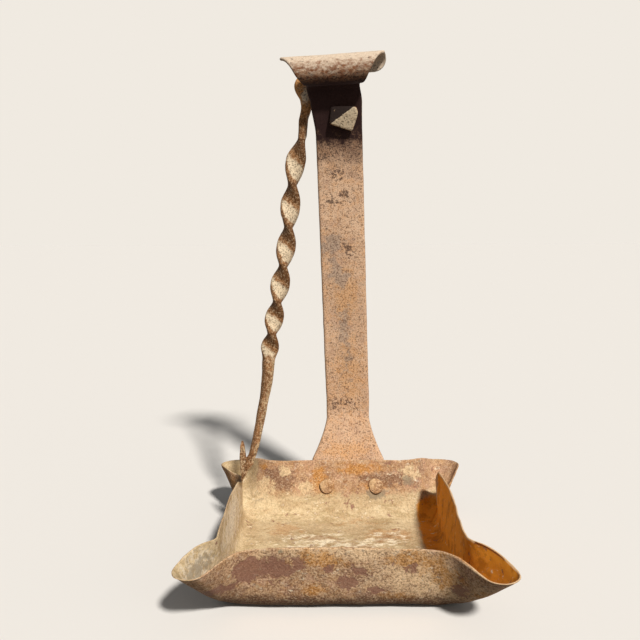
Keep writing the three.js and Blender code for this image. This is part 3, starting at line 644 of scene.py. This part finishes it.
def strapEdges(far, side):
    # half the width on either side: the plain strip's, plus what each side's neck and rolled-back end have more, which
    # fades out over the middle third, less the waves along the edge
    s = strap
    half = strapWidth(far) / 2
    most, over = s["flareEnds"]
    start, full = s["rollBackEnds"]
    for hand, sign in (("left", -1), ("right", 1)):
        wider, reach = s["flareBelow"][hand]
        extra = wider * ease(far, neckFar - reach, neckFar + most) * (1 - ease(far, neckFar + most, neckFar + over))
        extra = extra + s["rollBack"][hand] * ease(far, crestFar + start, crestFar + full)
        half = half + np.where(side * sign > 0, extra, 0) * np.minimum(1, np.abs(side) * 3)
    size, depth = s["edgeWaves"]
    return half - depth * (0.5 + 0.5 * lumps(np.stack([side * s["noiseApart"], far, 0 * far], -1), size, seed=31))


def roundHole(across, far, holeFar, flatFace):
    # Points round the hole move out from its middle, so that the edge of a small square of cells becomes a circle:
    # each by the hole's radius over its own ray to the square, fully at the square and fading out to the reach.
    s = strap
    block, reach = s["holeBlock"], s["holeReach"]
    dx, dy = across, far - holeFar
    box = np.maximum(np.abs(dx), np.abs(dy))
    share = np.clip((reach - box) / (reach - block), 0, 1) ** s["holePower"]
    ray = np.hypot(dx, dy) * block / np.maximum(box, 1e-6)
    near = flatFace & (box < reach)
    grow = np.where(near, 1 + share * (s["holeRadius"] / np.maximum(ray, 1e-6) - 1), 1)
    inHole = flatFace & (box < block)
    return np.where(near, dx * grow, across), np.where(near, holeFar + dy * grow, far), inHole


def holeCells(inHole, columns):
    # which cells the hole takes away, and its wall: cells that join the front face's loop of edges to the back's
    near = inHole & np.roll(inHole, -1, 1)
    drop = near[:-1] & near[1:]
    low, high = np.flatnonzero(drop.any(1))[[0, -1]] + (0, 1)
    front = np.flatnonzero(drop[low][:strap["across"]])
    left, right = front[0], front[-1] + 1
    row = np.concatenate([np.full(right - left, low), np.arange(low, high),
                          np.full(right - left, high), np.arange(high, low, -1)])
    column = np.concatenate([np.arange(left, right), np.full(high - low, right),
                             np.arange(right, left, -1), np.full(high - low, left)])
    ahead = row * columns + column
    behind = row * columns + (2 * strap["across"] + strap["round"] - 1 - column)
    return drop, np.stack([ahead, np.roll(ahead, -1), np.roll(behind, -1), behind], -1)


def buildStrap():
    # A strip bent along its middle line: at each distance along it a flat section with round edges, set off from the
    # line by half its thickness and by the hammer's waves, then swayed to the left.
    s = strap
    rows = np.concatenate([np.linspace(s["endGap"], neckFar, s["rows"], endpoint=False),
                           np.linspace(neckFar, strapEnd - s["endGap"], s["rollRows"])])
    # once round the strip: its front face from left to right, the right edge, the back face, and the left edge
    flat = np.linspace(-1, 1, s["across"])
    turns = np.linspace(-np.pi / 2, np.pi / 2, s["round"] + 2)[1:-1]
    side = np.concatenate([flat, np.ones(s["round"]), -flat, -np.ones(s["round"])])
    outX = np.concatenate([0 * flat, np.cos(turns), 0 * flat, -np.cos(turns)])
    face = np.concatenate([0 * flat - 1, np.sin(turns), 0 * flat + 1, -np.sin(turns)])
    far, side = np.meshgrid(rows, side, indexing="ij")
    outX, face = outX + 0 * far, face + 0 * far
    thick = mix(s["thick"], s["rollThick"], ease(far, neckFar, neckFar + s["rollRadius"] * np.pi)) / 2
    edgeRound = np.minimum(thick, s["edgeRound"])
    half = strapEdges(far, side)
    holeFar = neckFar - s["holeDrop"]
    across, far, inHole = roundHole(side * (half - edgeRound) + outX * edgeRound, far, holeFar, np.abs(outX) < 1e-9)
    y, z, lean = onLine(far)
    footLow, footHigh = s["calmFoot"]
    calm = (ease(np.hypot(across, far - holeFar), s["holeReach"], s["calmHole"])
            * ease(far, s["footDrop"] + footLow, s["footDrop"] + footHigh))
    wave = waves(np.stack([across, far, 0 * far], -1), s["hammer"], seed=41) * calm
    own = waves(np.stack([across, far, s["noiseApart"] * face], -1), s["pits"], seed=45) * mix(s["pitsKept"], 1, calm)
    off = face * thick + wave + own * face
    grid = sway(np.stack([s["footCentre"] + across, y + np.cos(rad(lean)) * off, z - np.sin(rad(lean)) * off], -1))
    drop, wall = holeCells(inHole, grid.shape[1])
    grid = insideBox(grid)
    toEdge = half - np.abs(across) + s["faceOff"] * (1 - np.abs(outX))
    start, full = s["rolledPast"]
    fields = {name: spots(grid, places) for name, places in s["places"].items()}
    fields |= {name: band(far - neckFar, marks) for name, marks in s["bands"].items()}
    fields["grit"] = 1 - s["dustyGrit"] * fields["dust"]
    fields["edge"] = np.clip(1 - toEdge / s["edgeWear"], 0, 1)
    # painted light on the inner face of the roll's right end, which lies in shade
    fields["rolledEndLight"] = ease(across, *s["rolledEndLight"]) * ease(far, crestFar + start, crestFar + full) * (face < 0.5)
    finish = rustedIron("forged wrought iron strap", strap)
    skin("handle_iron", grid, fields, finish, "lamp", ["handle_strap"], drop, wall)


# The rivets that hold the strap's foot to the back wall.
rivet = {
    "head": 4.6, "dome": 1.5, "shank": 2.3, "tail": 4, "tailDome": 1.5, "spacing": 28.8, "drop": 14.8, "shift": 1.9,
    "domeRings": 14, "domeTop": 0.06,  # the domes' rings, and how many radians from its top the first one lies
    "around": 40, "seeds": {"left": 5, "right": 9},
    "wallGap": 0.1, "undercut": 0.3,  # how far the head stands in front of the wall, and how much smaller its foot is
    "bulges": (2.6, 0.11), "uneven": (0.05, 0.03),  # size and depth of its bulges, and how oval and three-sided it is
    # degrees round the head, from its right side up, of the middle of its painted shadow along the edge and of its
    # painted highlight, between which cosines of the angle from there each comes in, and from which share of the
    # radius out the painted shadow lies
    "creaseFrom": 245, "creaseSpread": (-0.3, 0.7), "creaseRim": 0.72, "paleFrom": 160, "paleSpread": (-0.2, 0.6),
    # The same iron as the sheet, with a painted highlight on its left side and a painted shadow along its lower left
    # edge.
    "ground": "bb946e", "rough": 0.86, "gloss": 0.2,
    "layers": [
        {"size": 5, "from": 0.46, "to": 0.58, "colour": "ab7e50", "amount": 0.75, "rise": 0.04},
        {"size": 2.2, "from": 0.5, "to": 0.4, "colour": "7c5a42", "amount": 0.4, "rise": -0.14},
        {**grit, "from": 0.5, "to": 0.38, "colour": "5a3d2c", "amount": 0.6, "rise": -0.12},
        {**grit, "from": 0.51, "to": 0.63, "colour": "efd6b2", "amount": 0.5, "rise": 0.12},
        # a painted highlight on the head's left side, and a painted shadow along its lower left edge
        {"field": "paintedLight", "size": 2, "ragged": 3.0, "from": 0.2, "to": 1.1, "colour": "e0bf92", "amount": 0.6},
        {"field": "creaseShadow", "size": 2, "ragged": 1.2, "from": 0.3, "to": 0.8, "colour": "3c2616", "amount": 0.85},
    ],
}


def buildRivet(node, x, seed, finish):
    # turned about the wall's own direction: a flat-topped dome for the head, the shank, and a quarter ellipse for the
    # tail, with a radius that wavers a little round it
    up = np.array([0, np.sin(rad(dish["wallLean"])), np.cos(rad(dish["wallLean"]))])
    out = np.array([0, np.cos(rad(dish["wallLean"])), -np.sin(rad(dish["wallLean"]))])
    sheetHere = mix(dish["rimSheet"], dish["sheet"], rivet["drop"] / dish["wallHeight"])
    inside, behind = -sheetHere - rivet["wallGap"], 2 * strap["seatGap"] + strap["thick"]
    head, shank, tail, undercut = (rivet[name] for name in ("head", "shank", "tail", "undercut"))
    a = np.linspace(rivet["domeTop"], np.pi / 2, rivet["domeRings"])
    radius = np.concatenate([head * np.sin(a), [head - undercut, shank, shank, tail - undercut],
                             tail * np.sin(a[::-1])])
    along = np.concatenate([inside - rivet["dome"] * np.sqrt(np.cos(a)), [inside, inside, behind, behind],
                            behind + rivet["tailDome"] * np.cos(a[::-1])])
    turn = np.linspace(0, 2 * np.pi, rivet["around"], endpoint=False)
    oval, threeSided = rivet["uneven"]
    radius = radius[:, None] * (1 + oval * np.cos(2 * turn + seed) + threeSided * np.cos(3 * turn + 2 * seed))
    seat = np.array([x, dish["halfDepth"], dish["wallHeight"]]) - up * rivet["drop"]
    ring = np.array([1, 0, 0]) * np.cos(turn)[:, None] + up * np.sin(turn)[:, None]
    grid = seat + radius[..., None] * ring + along[:, None, None] * out
    size, depth = rivet["bulges"]
    outsideWall = (np.abs(along - behind / 2) > behind / 2)[:, None]
    bulge = outsideWall * (lumps(grid, size, seed) - 1) * depth
    normal = outward(grid)
    grid = grid + normal * np.sign(-(normal[0] @ out).mean()) * bulge[..., None]
    onHead, rim = (along < 0)[:, None], radius / head
    # a painted shadow along the head's lower left edge, and a painted highlight on its left side
    below = np.cos(turn - rad(rivet["creaseFrom"]))
    creaseShadow = onHead * ease(rim, rivet["creaseRim"], 1) * ease(below, *rivet["creaseSpread"])
    paintedLight = onHead * ease(rim * np.cos(turn - rad(rivet["paleFrom"])), *rivet["paleSpread"]) * (1 - creaseShadow)
    skin(node + "_head", grid, {"creaseShadow": creaseShadow, "paintedLight": paintedLight}, finish, "lamp", [node])


def buildRivets():
    # one on each side of the strap's foot, half their spacing from its middle
    finish = rustedIron("hammered wrought iron rivet", rivet)
    for hand, sign in (("left", -1), ("right", 1)):
        x = strap["footCentre"] + rivet["shift"] + sign * rivet["spacing"] / 2
        buildRivet("rivet_" + hand, x, rivet["seeds"][hand], finish)


# The hanger: one bar that turns in the strap's hole, with a wedge-shaped head, an arch behind the strap, a twist, a
# plain rod, and a spike with a barb.
hanger = {
    "swingGap": 0.7, "spikeGap": 0.9, "shank": 5.4, "arch": 7.2, "archBack": 8.4, "archRise": 20, "archSpan": 19,
    "neckThick": 4.2, "neckDepth": 7.5, "barWidth": 11.2, "barFootWidth": 10, "barThick": 4.8,
    "halfTurns": 6, "twistLength": 125.7, "twistEase": 0.288, "rodTop": 5.6, "rodFoot": 3.8,
    "spikeLength": 13.5, "spikeWidth": 5.6, "spikeThick": 3.4, "spikeReach": 3.2, "spikeBack": 22.6,
    # where the bar's middle runs below the arch, as x, y and z from the spike's point
    "way": [(33.2, 31.4, 186.2), (28.9, 31, 170), (24.3, 23.2, 127.7), (15.1, 12, 70), (13.4, 8.6, 50.5),
            (8.6, 4.4, 27), (5.7, 2.2, 13.5)],
    "intoHead": 3,  # how far in front of the gap the shank starts
    # how much wider than thick the twist ends, and then rows of the share of the way and how far the rod has tapered
    "twistEnd": 1.2, "rod": [(0.76, 0), (0.84, 0.6), (1, 1)],
    # rows of how far across and back, and the shares of the spike's length, width and thickness; and its point's size
    "spike": [(3.8, 1.4, 0.74, 1, 1), (1.5, 0.6, 0.34, 0.6, 0.7)], "spikeTip": 1,
    # the barb: its height, and rows of how far across, the share of its height, width and thickness
    "barbHeight": 21.5,
    "barb": [(0.6, 0.16, 1.6, 1.68), (0.5, 0.22, 2.6, 2.8), (0.6, 0.55, 3.5, 2.8), (0.4, 0.84, 2.5, 1.96),
             (0.3, 0.96, 1.2, 0.98), (0.3, 0.99, 0.5, 0.4)],
    # the head's corners, as across, up and out from the strap's front face: the front ones and then the back ones
    "head": [(-5.2, -5.4, 4.4), (8.2, 4.1, 6.8), (7.6, -9.4, 2.6), (10.7, 1.2, 5.2), (10, 3.4, 5.6), (-4.3, 4.2, 1.2),
             (1, 4.4, 3.4),
             (-4.8, -5, 0), (6.8, -8.8, 0), (10.3, 1.2, 0), (9.4, 3.8, 0), (-4.3, 4, 0), (1, 4.2, 0)],
    # rings along the bar and points round it, the same for the barb and the head, and how square each section is
    "barGrid": (760, 44), "barbGrid": (90, 32), "headGrid": (70, 110),
    "barSquare": 2.9, "barbSquare": 4, "headSquare": 16,
    "filing": [(6, 0.14), (2.2, 0.07)], "barbFiling": 0.6,  # size and depth of its unevenness, and the barb's share
    "smoothNear": (5, 12),  # how far from the hole's middle the filing starts and is full
    # heights over the spike's point between which the rod's look ends, and the neck's starts
    "rodUpTo": (60, 72), "neckFrom": (182, 212),
    # the ways that the head's pale and dark faces look, and how nearly a point has to look that way: the pale face
    # is painted light where the head turns to the light, and the dark face is the roll's shadow painted on it
    "headPale": (0.4, -0.86, -0.3), "paleNear": (0.6, 0.8), "headDark": (-0.42, -0.7, 0.58), "darkNear": (0.5, 0.8),
    # the twist's faces, from -1 where they look left to 1 where they look right: between which values the painted
    # light comes in, where it ends, between which the painted shade comes in, and how much a face counts as crowned
    "paleIn": (-0.3, 0.25), "paleOut": (0.93, 1), "dimIn": (0.1, 0.6), "crown": 0.45,
    # the same for the rod's mottling, how strong it is to the left and to the right, and the barb's all over; the
    # rod's mottling is painted stronger on its right side as painted light, where the light falls
    "mottleRight": (-0.1, 0.9), "rodMottle": (0.2, 0.9), "barbMottle": 0.55,
    "bare": [(-17.8, 50, 241, 3.6, 9, 9)],  # a pale place on the neck, painted light on a facet in the roll's shade: x, y, z and three reaches
    # Dry brown rust, with painted light on the faces that turn to the light and painted shade on the others, the
    # roll's painted shadow on the head, and the neck painted lighter where the roll shades it.
    "ground": "966a42", "rough": 0.78, "gloss": 0.25,
    "layers": [
        {"size": 9, "from": 0.44, "to": 0.58, "colour": "6e4828", "amount": 0.6},
        # orange rust on the neck, painted lighter as painted light, since the neck lies in the roll's shade
        {"field": "warm", "size": 4, "ragged": 1.8, "from": 0.2, "to": 0.75, "colour": "dc9c5c", "amount": 0.85},
        # painted light on the twist's and the head's faces that turn to the light
        {"field": "paintedLight", "size": 3, "ragged": 2.4, "from": 0.15, "to": 1.0, "colour": "dac8aa", "amount": 0.9},
        # painted light on the neck's facet in the roll's shade
        {"field": "bare", "size": 3, "ragged": 1.4, "from": 0.12, "to": 0.8, "colour": "fff4de", "amount": 0.9},
        # painted shade on the twist's faces that turn away from the light
        {"field": "paintedShade", "size": 2.4, "ragged": 2.0, "from": 0.3, "to": 0.8, "colour": "64401f", "amount": 0.9},
        {"field": "mottle", "size": 2.6, "ragged": 4.0, "from": 0.45, "to": 1.0, "colour": "bca27e", "amount": 0.8},
        {**grit, "from": 0.49, "to": 0.39, "colour": "3a2515", "amount": 0.7, "rise": -0.12, "rough": 0.9},
        {**grit, "from": 0.52, "to": 0.64, "colour": "ead4b0", "amount": 0.4, "rise": 0.1},
        # the roll's painted shadow on the head's upper left face
        {"field": "sootAndShadow", "size": 1.6, "ragged": 2.4, "from": 0.3, "to": 0.6, "colour": "1c0f0a", "amount": 1.0},
    ],
}
spikePoint = np.array([hanger["spikeReach"] - dish["halfWidth"], hanger["spikeBack"],
                       dish["wallHeight"] + hanger["spikeGap"]])
strapUp = np.array([0, -np.sin(rad(strap["lean"])), np.cos(rad(strap["lean"]))])
strapOut = np.array([0, -np.cos(rad(strap["lean"])), -np.sin(rad(strap["lean"]))])
holeCentre = sway(np.array([strap["footCentre"], *onLine(neckFar - strap["holeDrop"])[:2]]))


def atHole(across, up, out):
    # a point measured from the hole's middle: to the right, up along the strap, and out in front of it
    return holeCentre + np.array([across, 0, 0]) + strapUp * up + strapOut * out


def through(knots, at):
    # A curve through all the knots, at knot numbers such as 2.4: centripetal Catmull-Rom, each span a cubic whose end
    # slopes come from its neighbours, weighted by the square roots of the distances.
    p = np.concatenate([[2 * knots[0] - knots[1]], knots, [2 * knots[-1] - knots[-2]]])
    span = np.clip(np.floor(at).astype(int), 0, len(knots) - 2)
    t = (at - span)[:, None]
    p0, p1, p2, p3 = (p[span + k] for k in range(4))
    d0, d1, d2 = (np.maximum(np.sqrt(np.linalg.norm(b - a, axis=1)), 1e-6)[:, None]
                  for a, b in ((p0, p1), (p1, p2), (p2, p3)))
    t1 = ((p1 - p0) / d0 - (p2 - p0) / (d0 + d1) + (p2 - p1) / d1) * d1
    t2 = ((p2 - p1) / d1 - (p3 - p1) / (d1 + d2) + (p3 - p2) / d2) * d1
    return p1 + t1 * t + (3 * (p2 - p1) - 2 * t1 - t2) * t ** 2 + (2 * (p1 - p2) + t1 + t2) * t ** 3


def hangerStations():
    # Rows of place, width, thickness and turn in degrees, from the head down to the spike's point. In the twist the
    # flat bar makes a quarter turn from each station to the next.
    h = hanger
    shank, arch, depth, neck = h["shank"], h["arch"], h["neckDepth"], h["neckThick"]
    rise, span, back = h["archRise"], h["archSpan"], h["archBack"]
    half, gap = strap["thick"] / 2, h["swingGap"]
    rows = [
        (atHole(0, 0, half + gap + h["intoHead"]), shank, shank, 0),
        (atHole(0, 0, half), shank, shank, 0),
        (atHole(0, 0, -half - gap), shank, shank, 0),
        (atHole(-0.4, 1.6, 1 - back), shank, shank, 10),
        (atHole(-2.4, rise * 0.55, -back), arch, arch, 35),
        (atHole(-span * 0.42, rise, -back), arch, arch, 45),
        (atHole(-span * 0.85, rise * 0.93, -back), arch, arch, 45),
        (atHole(-span * 1.05, rise * 0.78, -back), arch, arch, 45),
        (atHole(-span * 0.94, rise * 0.45, 0.4 - back), arch, arch * 0.8, 60),
        (atHole(-span * 0.92, rise * 0.2, 0.6 - back), depth, neck + 1.6, 80),
        (atHole(-span, -rise * 0.1, 1 - back), depth, neck + 0.4, 90),
    ]
    way = np.array(h["way"]) + spikePoint
    fine = through(way, np.linspace(0, len(way) - 1, 1201))
    run = distances(fine)

    def barAt(share):
        # the place at a share of the way's length
        return np.array([np.interp(share * run[-1], run, fine[:, k]) for k in range(3)])

    for i in range(2 * h["halfTurns"] + 1):
        t = i / (2 * h["halfTurns"])
        along = (t + h["twistEase"] * t * (1 - t)) * h["twistLength"] / run[-1]
        size = (depth, neck) if i == 0 else (mix(h["barWidth"], h["barFootWidth"], t), h["barThick"])
        rows.append((barAt(along), *size, 90 - 180 * h["halfTurns"] * t))
    last = 135 - 180 * h["halfTurns"]
    rows[-1] = (rows[-1][0], h["rodTop"] * h["twistEnd"], h["rodTop"], last)
    for share, taper in h["rod"]:
        size = mix(h["rodTop"], h["rodFoot"], taper)
        rows.append((barAt(share), size, size, last))
    for across, back, share, wide, thick in h["spike"]:
        place = spikePoint + (across, back, h["spikeLength"] * share)
        rows.append((place, h["spikeWidth"] * wide, h["spikeThick"] * thick, last + 45))
    rows.append((spikePoint, h["spikeTip"], h["spikeTip"], last + 45))
    return rows


def sweep(rows, rings, around, power):
    # A bar along its stations: at each ring a squared-off ellipse (a superellipse of that power), its axes carried
    # along without twisting and then turned by the station's own angle. Also how near each point is to the section's
    # corners, and the way that each ring's flat face looks.
    at = np.array([r[0] for r in rows], float)
    sizes = np.array([r[1:3] for r in rows], float)
    turn = np.array([r[3] for r in rows], float)
    knots = np.arange(len(rows))
    fine = np.linspace(0, len(rows) - 1, 4001)
    run = distances(through(at, fine))
    t = np.interp(np.linspace(0, run[-1], rings), run, fine)
    middle = through(at, t)
    tangent = np.gradient(middle, axis=0)
    tangent /= np.linalg.norm(tangent, axis=1, keepdims=True)
    normal = np.array([1.0, 0, 0])
    normals = []
    for direction in tangent:
        normal = normal - direction * (normal @ direction)
        normal = normal / np.linalg.norm(normal)
        normals.append(normal)
    normals = np.array(normals)
    other = np.cross(tangent, normals)
    part = t - np.floor(t)
    eased = np.floor(t) + part * part * (3 - 2 * part)
    wide, thick = (np.interp(eased, knots, sizes[:, k])[:, None] / 2 for k in (0, 1))
    angle = rad(np.interp(t, knots, turn))[:, None]
    first = normals * np.cos(angle) + other * np.sin(angle)
    second = other * np.cos(angle) - normals * np.sin(angle)
    a = np.linspace(0, 2 * np.pi, around, endpoint=False)
    c, s = np.cos(a), np.sin(a)
    across = np.sign(c) * np.abs(c) ** (2 / power) * wide
    deep = np.sign(s) * np.abs(s) ** (2 / power) * thick
    grid = middle[:, None] + across[..., None] * first[:, None] + deep[..., None] * second[:, None]
    flatShare = 0.8  # of each face, out from its middle
    corner = np.clip(np.abs(across) / wide - flatShare, 0, 1) / (1 - flatShare)
    return grid, corner, second


def roundedHull(corners, rows, columns, power):
    # A block with eased edges: along each direction from its middle, one over the power mean of how near each of its
    # planes is. Its planes go through three corners and leave all the others on one side.
    tiny, pole = 1e-6, 0.04  # the first and last ring lie this many radians from the poles
    corners = np.array(corners, float)
    middle = corners.mean(0)
    c = corners - middle
    i, j, k = (x.ravel() for x in np.meshgrid(*[np.arange(len(c))] * 3, indexing="ij"))
    keep = (i < j) & (j < k)
    i, j, k = i[keep], j[keep], k[keep]
    normal = np.cross(c[j] - c[i], c[k] - c[i])
    size = np.linalg.norm(normal, axis=1)
    normal = normal[size > tiny] / size[size > tiny, None]
    depth = (normal * c[i][size > tiny]).sum(1)
    normal, depth = normal * np.sign(depth)[:, None], np.abs(depth)
    faces = ((c @ normal.T) <= depth + tiny).all(0)
    planes = np.unique(np.round(np.hstack([normal[faces], depth[faces, None]]), 3), axis=0)
    polar = np.linspace(pole, np.pi - pole, rows)[:, None]
    turn = np.linspace(0, 2 * np.pi, columns, endpoint=False)[None]
    ray = np.stack([np.sin(polar) * np.cos(turn), np.sin(polar) * np.sin(turn), np.cos(polar) + 0 * turn], -1)
    near = np.maximum(ray @ planes[:, :3].T, 0) / planes[:, 3]
    reach = (near ** power).sum(-1) ** (-1 / power)
    return middle + ray * reach[..., None]


def outside(grid):
    # normals that point away from a bar's own middle line
    normal = outward(grid)
    middle = grid.mean(1, keepdims=True)
    facing = np.sign(((grid - middle) * normal).sum(-1).mean())
    return normal * facing


def filed(grid, depth):
    # the surface moved out or in along its normals by its filing marks
    return insideBox(grid + outside(grid) * depth[..., None])


def buildBar(finish):
    # the whole bar from its shank to its spike, as one sweep
    grid, corner, flat = sweep(hangerStations(), *hanger["barGrid"], hanger["barSquare"])
    marks = waves(grid, hanger["filing"], seed=61)
    grid = filed(grid, marks * ease(np.linalg.norm(grid - holeCentre, axis=-1), *hanger["smoothNear"]))
    facing, height = outside(grid), grid[..., 2] - spikePoint[2]
    rod, neck = 1 - ease(height, *hanger["rodUpTo"]), ease(height, *hanger["neckFrom"])
    twist = 1 - np.maximum(rod, neck)
    # how far each flat face is turned to the right, as seen from in front, and the same slanted across the face
    turned = (flat[:, 0] * -np.sign(flat[:, 1]))[:, None] + 0 * height
    fromMiddle = (grid[..., 0] - grid[..., 0].mean(1, keepdims=True)) / (hanger["barWidth"] / 2)
    slant = turned - hanger["crown"] * fromMiddle
    # the twist's faces carry painted light where they turn to the light and painted shade where they turn away
    fields = {
        "paintedLight": twist * ease(slant, *hanger["paleIn"]) * (1 - ease(turned, *hanger["paleOut"])) * (1 - corner),
        # painted light on the neck's facet in the roll's shade
        "bare": spots(grid, hanger["bare"]),
        "paintedShade": twist * ease(-slant, *hanger["dimIn"]),
        # orange rust on the neck, painted lighter as painted light in the roll's shade
        "warm": neck,
        # pale mottling, painted stronger on the rod's right side as painted light
        "mottle": rod * mix(*hanger["rodMottle"], ease(facing[..., 0], *hanger["mottleRight"])),
    }
    skin("hanger_bar", grid, fields, finish, "hanger", ["hanger"])


def buildHead(finish):
    # the wedge in front of the strap, as the rounded hull of its corners
    front = strap["thick"] / 2 + hanger["swingGap"]
    corners = [atHole(across, up, front + out) for across, up, out in hanger["head"]]
    grid = roundedHull(corners, *hanger["headGrid"], hanger["headSquare"])
    facing = outside(grid)
    # painted light on the face that turns to the light, and the roll's painted shadow on the upper left face
    fields = {
        "paintedLight": ease(facing @ hanger["headPale"], *hanger["paleNear"]),
        "sootAndShadow": ease(facing @ hanger["headDark"], *hanger["darkNear"]),
    }
    skin("hanger_head", grid, fields, finish, "hanger")


def buildBarb(finish):
    # the barb beside the spike, a sweep that leans back as the spike's own flat does
    rows = [(spikePoint + (across, share * hanger["barbHeight"] * 2 / hanger["spikeLength"],
                           share * hanger["barbHeight"]), wide, thick, 0)
            for across, share, wide, thick in hanger["barb"]]
    grid = sweep(rows, *hanger["barbGrid"], hanger["barbSquare"])[0]
    grid = filed(grid, waves(grid, hanger["filing"], seed=71) * hanger["barbFiling"])
    fields = {"mottle": np.full(grid.shape[:2], hanger["barbMottle"])}
    skin("hanger_barb", grid, fields, finish, "hanger")


# The camera stands where the lamp's own lines in the photo put it; the floor is plain and pale, the light soft.
studio = {
    "camera": (-4.106, -351.446, 170.935), "lens": 40.34, "sensor": 36,
    "right": (0.999857, 0.016038, -0.005369), "up": (0.003214, 0.131506, 0.991310),
    "clip": (0.01, 50), "floorSize": 6.0,  # metres
    # floor and sky as they are seen, and what they give to the lamp
    "floorColour": "e6e4e0", "floorShade": "6a6866", "skyColour": "f0eae1", "skyLight": 0.15,
    # the key comes from above the camera's right shoulder, as a sun wide enough for soft shadow edges
    "lights": {
        "key": {"from": (0.31, -0.64, 0.70), "width": 6, "strength": 4.15, "colour": "fffaf4"},
        "fill": {"from": (0.8, -0.6, 0.1), "width": 60, "strength": 0.5, "colour": "fff6ea"},
    },
}


def posed(name, data, axes, place):
    # an object with these three axes at this place; a camera or lamp looks back along the third
    thing = bpy.data.objects.new(name, data)
    thing.matrix_world = Matrix([[*(axis[k] for axis in axes), place[k]] for k in range(3)] + [[0, 0, 0, 1]])
    scene.collection.objects.link(thing)
    return thing


def seen(tree):
    # 1 for what the camera sees, in a reflection or through glass too, and 0 for the light that goes to the lamp
    ray = add(tree, "LightPath")
    either = add(tree, "Math", {0: ray.outputs["Is Camera Ray"], 1: ray.outputs["Is Glossy Ray"]},
                 operation="MAXIMUM").outputs[0]
    return add(tree, "Math", {0: either, 1: ray.outputs["Is Transmission Ray"]}, operation="MAXIMUM").outputs[0]


def buildStudio():
    # camera, two suns, a square floor of matt paper, and a plain sky that is seen paler than it lights
    right, up = np.array(studio["right"]), np.array(studio["up"])
    lens = bpy.data.cameras.new("camera")
    lens.lens, lens.sensor_width = studio["lens"], studio["sensor"]
    lens.clip_start, lens.clip_end = studio["clip"]
    scene.camera = posed("camera", lens, (right, up, np.cross(right, up)), np.array(studio["camera"]) * mm)
    for name, light in studio["lights"].items():
        sun = bpy.data.lights.new(name, "SUN")
        sun.angle, sun.energy, sun.color = rad(light["width"]), light["strength"], linear(light["colour"])[:3]
        aim = np.array(light["from"]) / np.linalg.norm(light["from"])
        side = np.cross((0, 0, 1), aim)
        side /= np.linalg.norm(side)
        posed(name, sun, (side, np.cross(aim, side), aim), aim)

    mesh = bpy.data.meshes.new("floor")
    far = studio["floorSize"]
    mesh.from_pydata([(-far, -far, 0), (far, -far, 0), (far, far, 0), (-far, far, 0)], [], [(0, 1, 2, 3)])
    floor = bpy.data.objects.new("floor", mesh)
    scene.collection.objects.link(floor)
    matt = bpy.data.materials.new("matt pale paper")
    tree = bareTree(matt)
    paper = add(tree, "Mix", {0: seen(tree), 6: linear(studio["floorShade"]), 7: linear(studio["floorColour"])},
                data_type="RGBA").outputs[2]
    shader = add(tree, "BsdfDiffuse", {"Color": paper})
    add(tree, "OutputMaterial", {"Surface": shader.outputs[0]})
    mesh.materials.append(matt)

    world = bpy.data.worlds.new("plain studio")
    scene.world = world
    tree = bareTree(world)
    light = add(tree, "Background", {"Color": (1, 1, 1, 1), "Strength": studio["skyLight"]}).outputs[0]
    wall = add(tree, "Background", {"Color": linear(studio["skyColour"]), "Strength": 1.0}).outputs[0]
    both = add(tree, "MixShader", {0: seen(tree), 1: light, 2: wall}).outputs[0]
    add(tree, "OutputWorld", {"Surface": both})
    scene.view_settings.view_transform = "Standard"
    print("studio ready")


buildStudio()
buildDish()
buildStrap()
buildRivets()
barIron = rustedIron("filed wrought iron bar", hanger)
buildBar(barIron)
buildHead(barIron)
buildBarb(barIron)
print("lamp dressed")
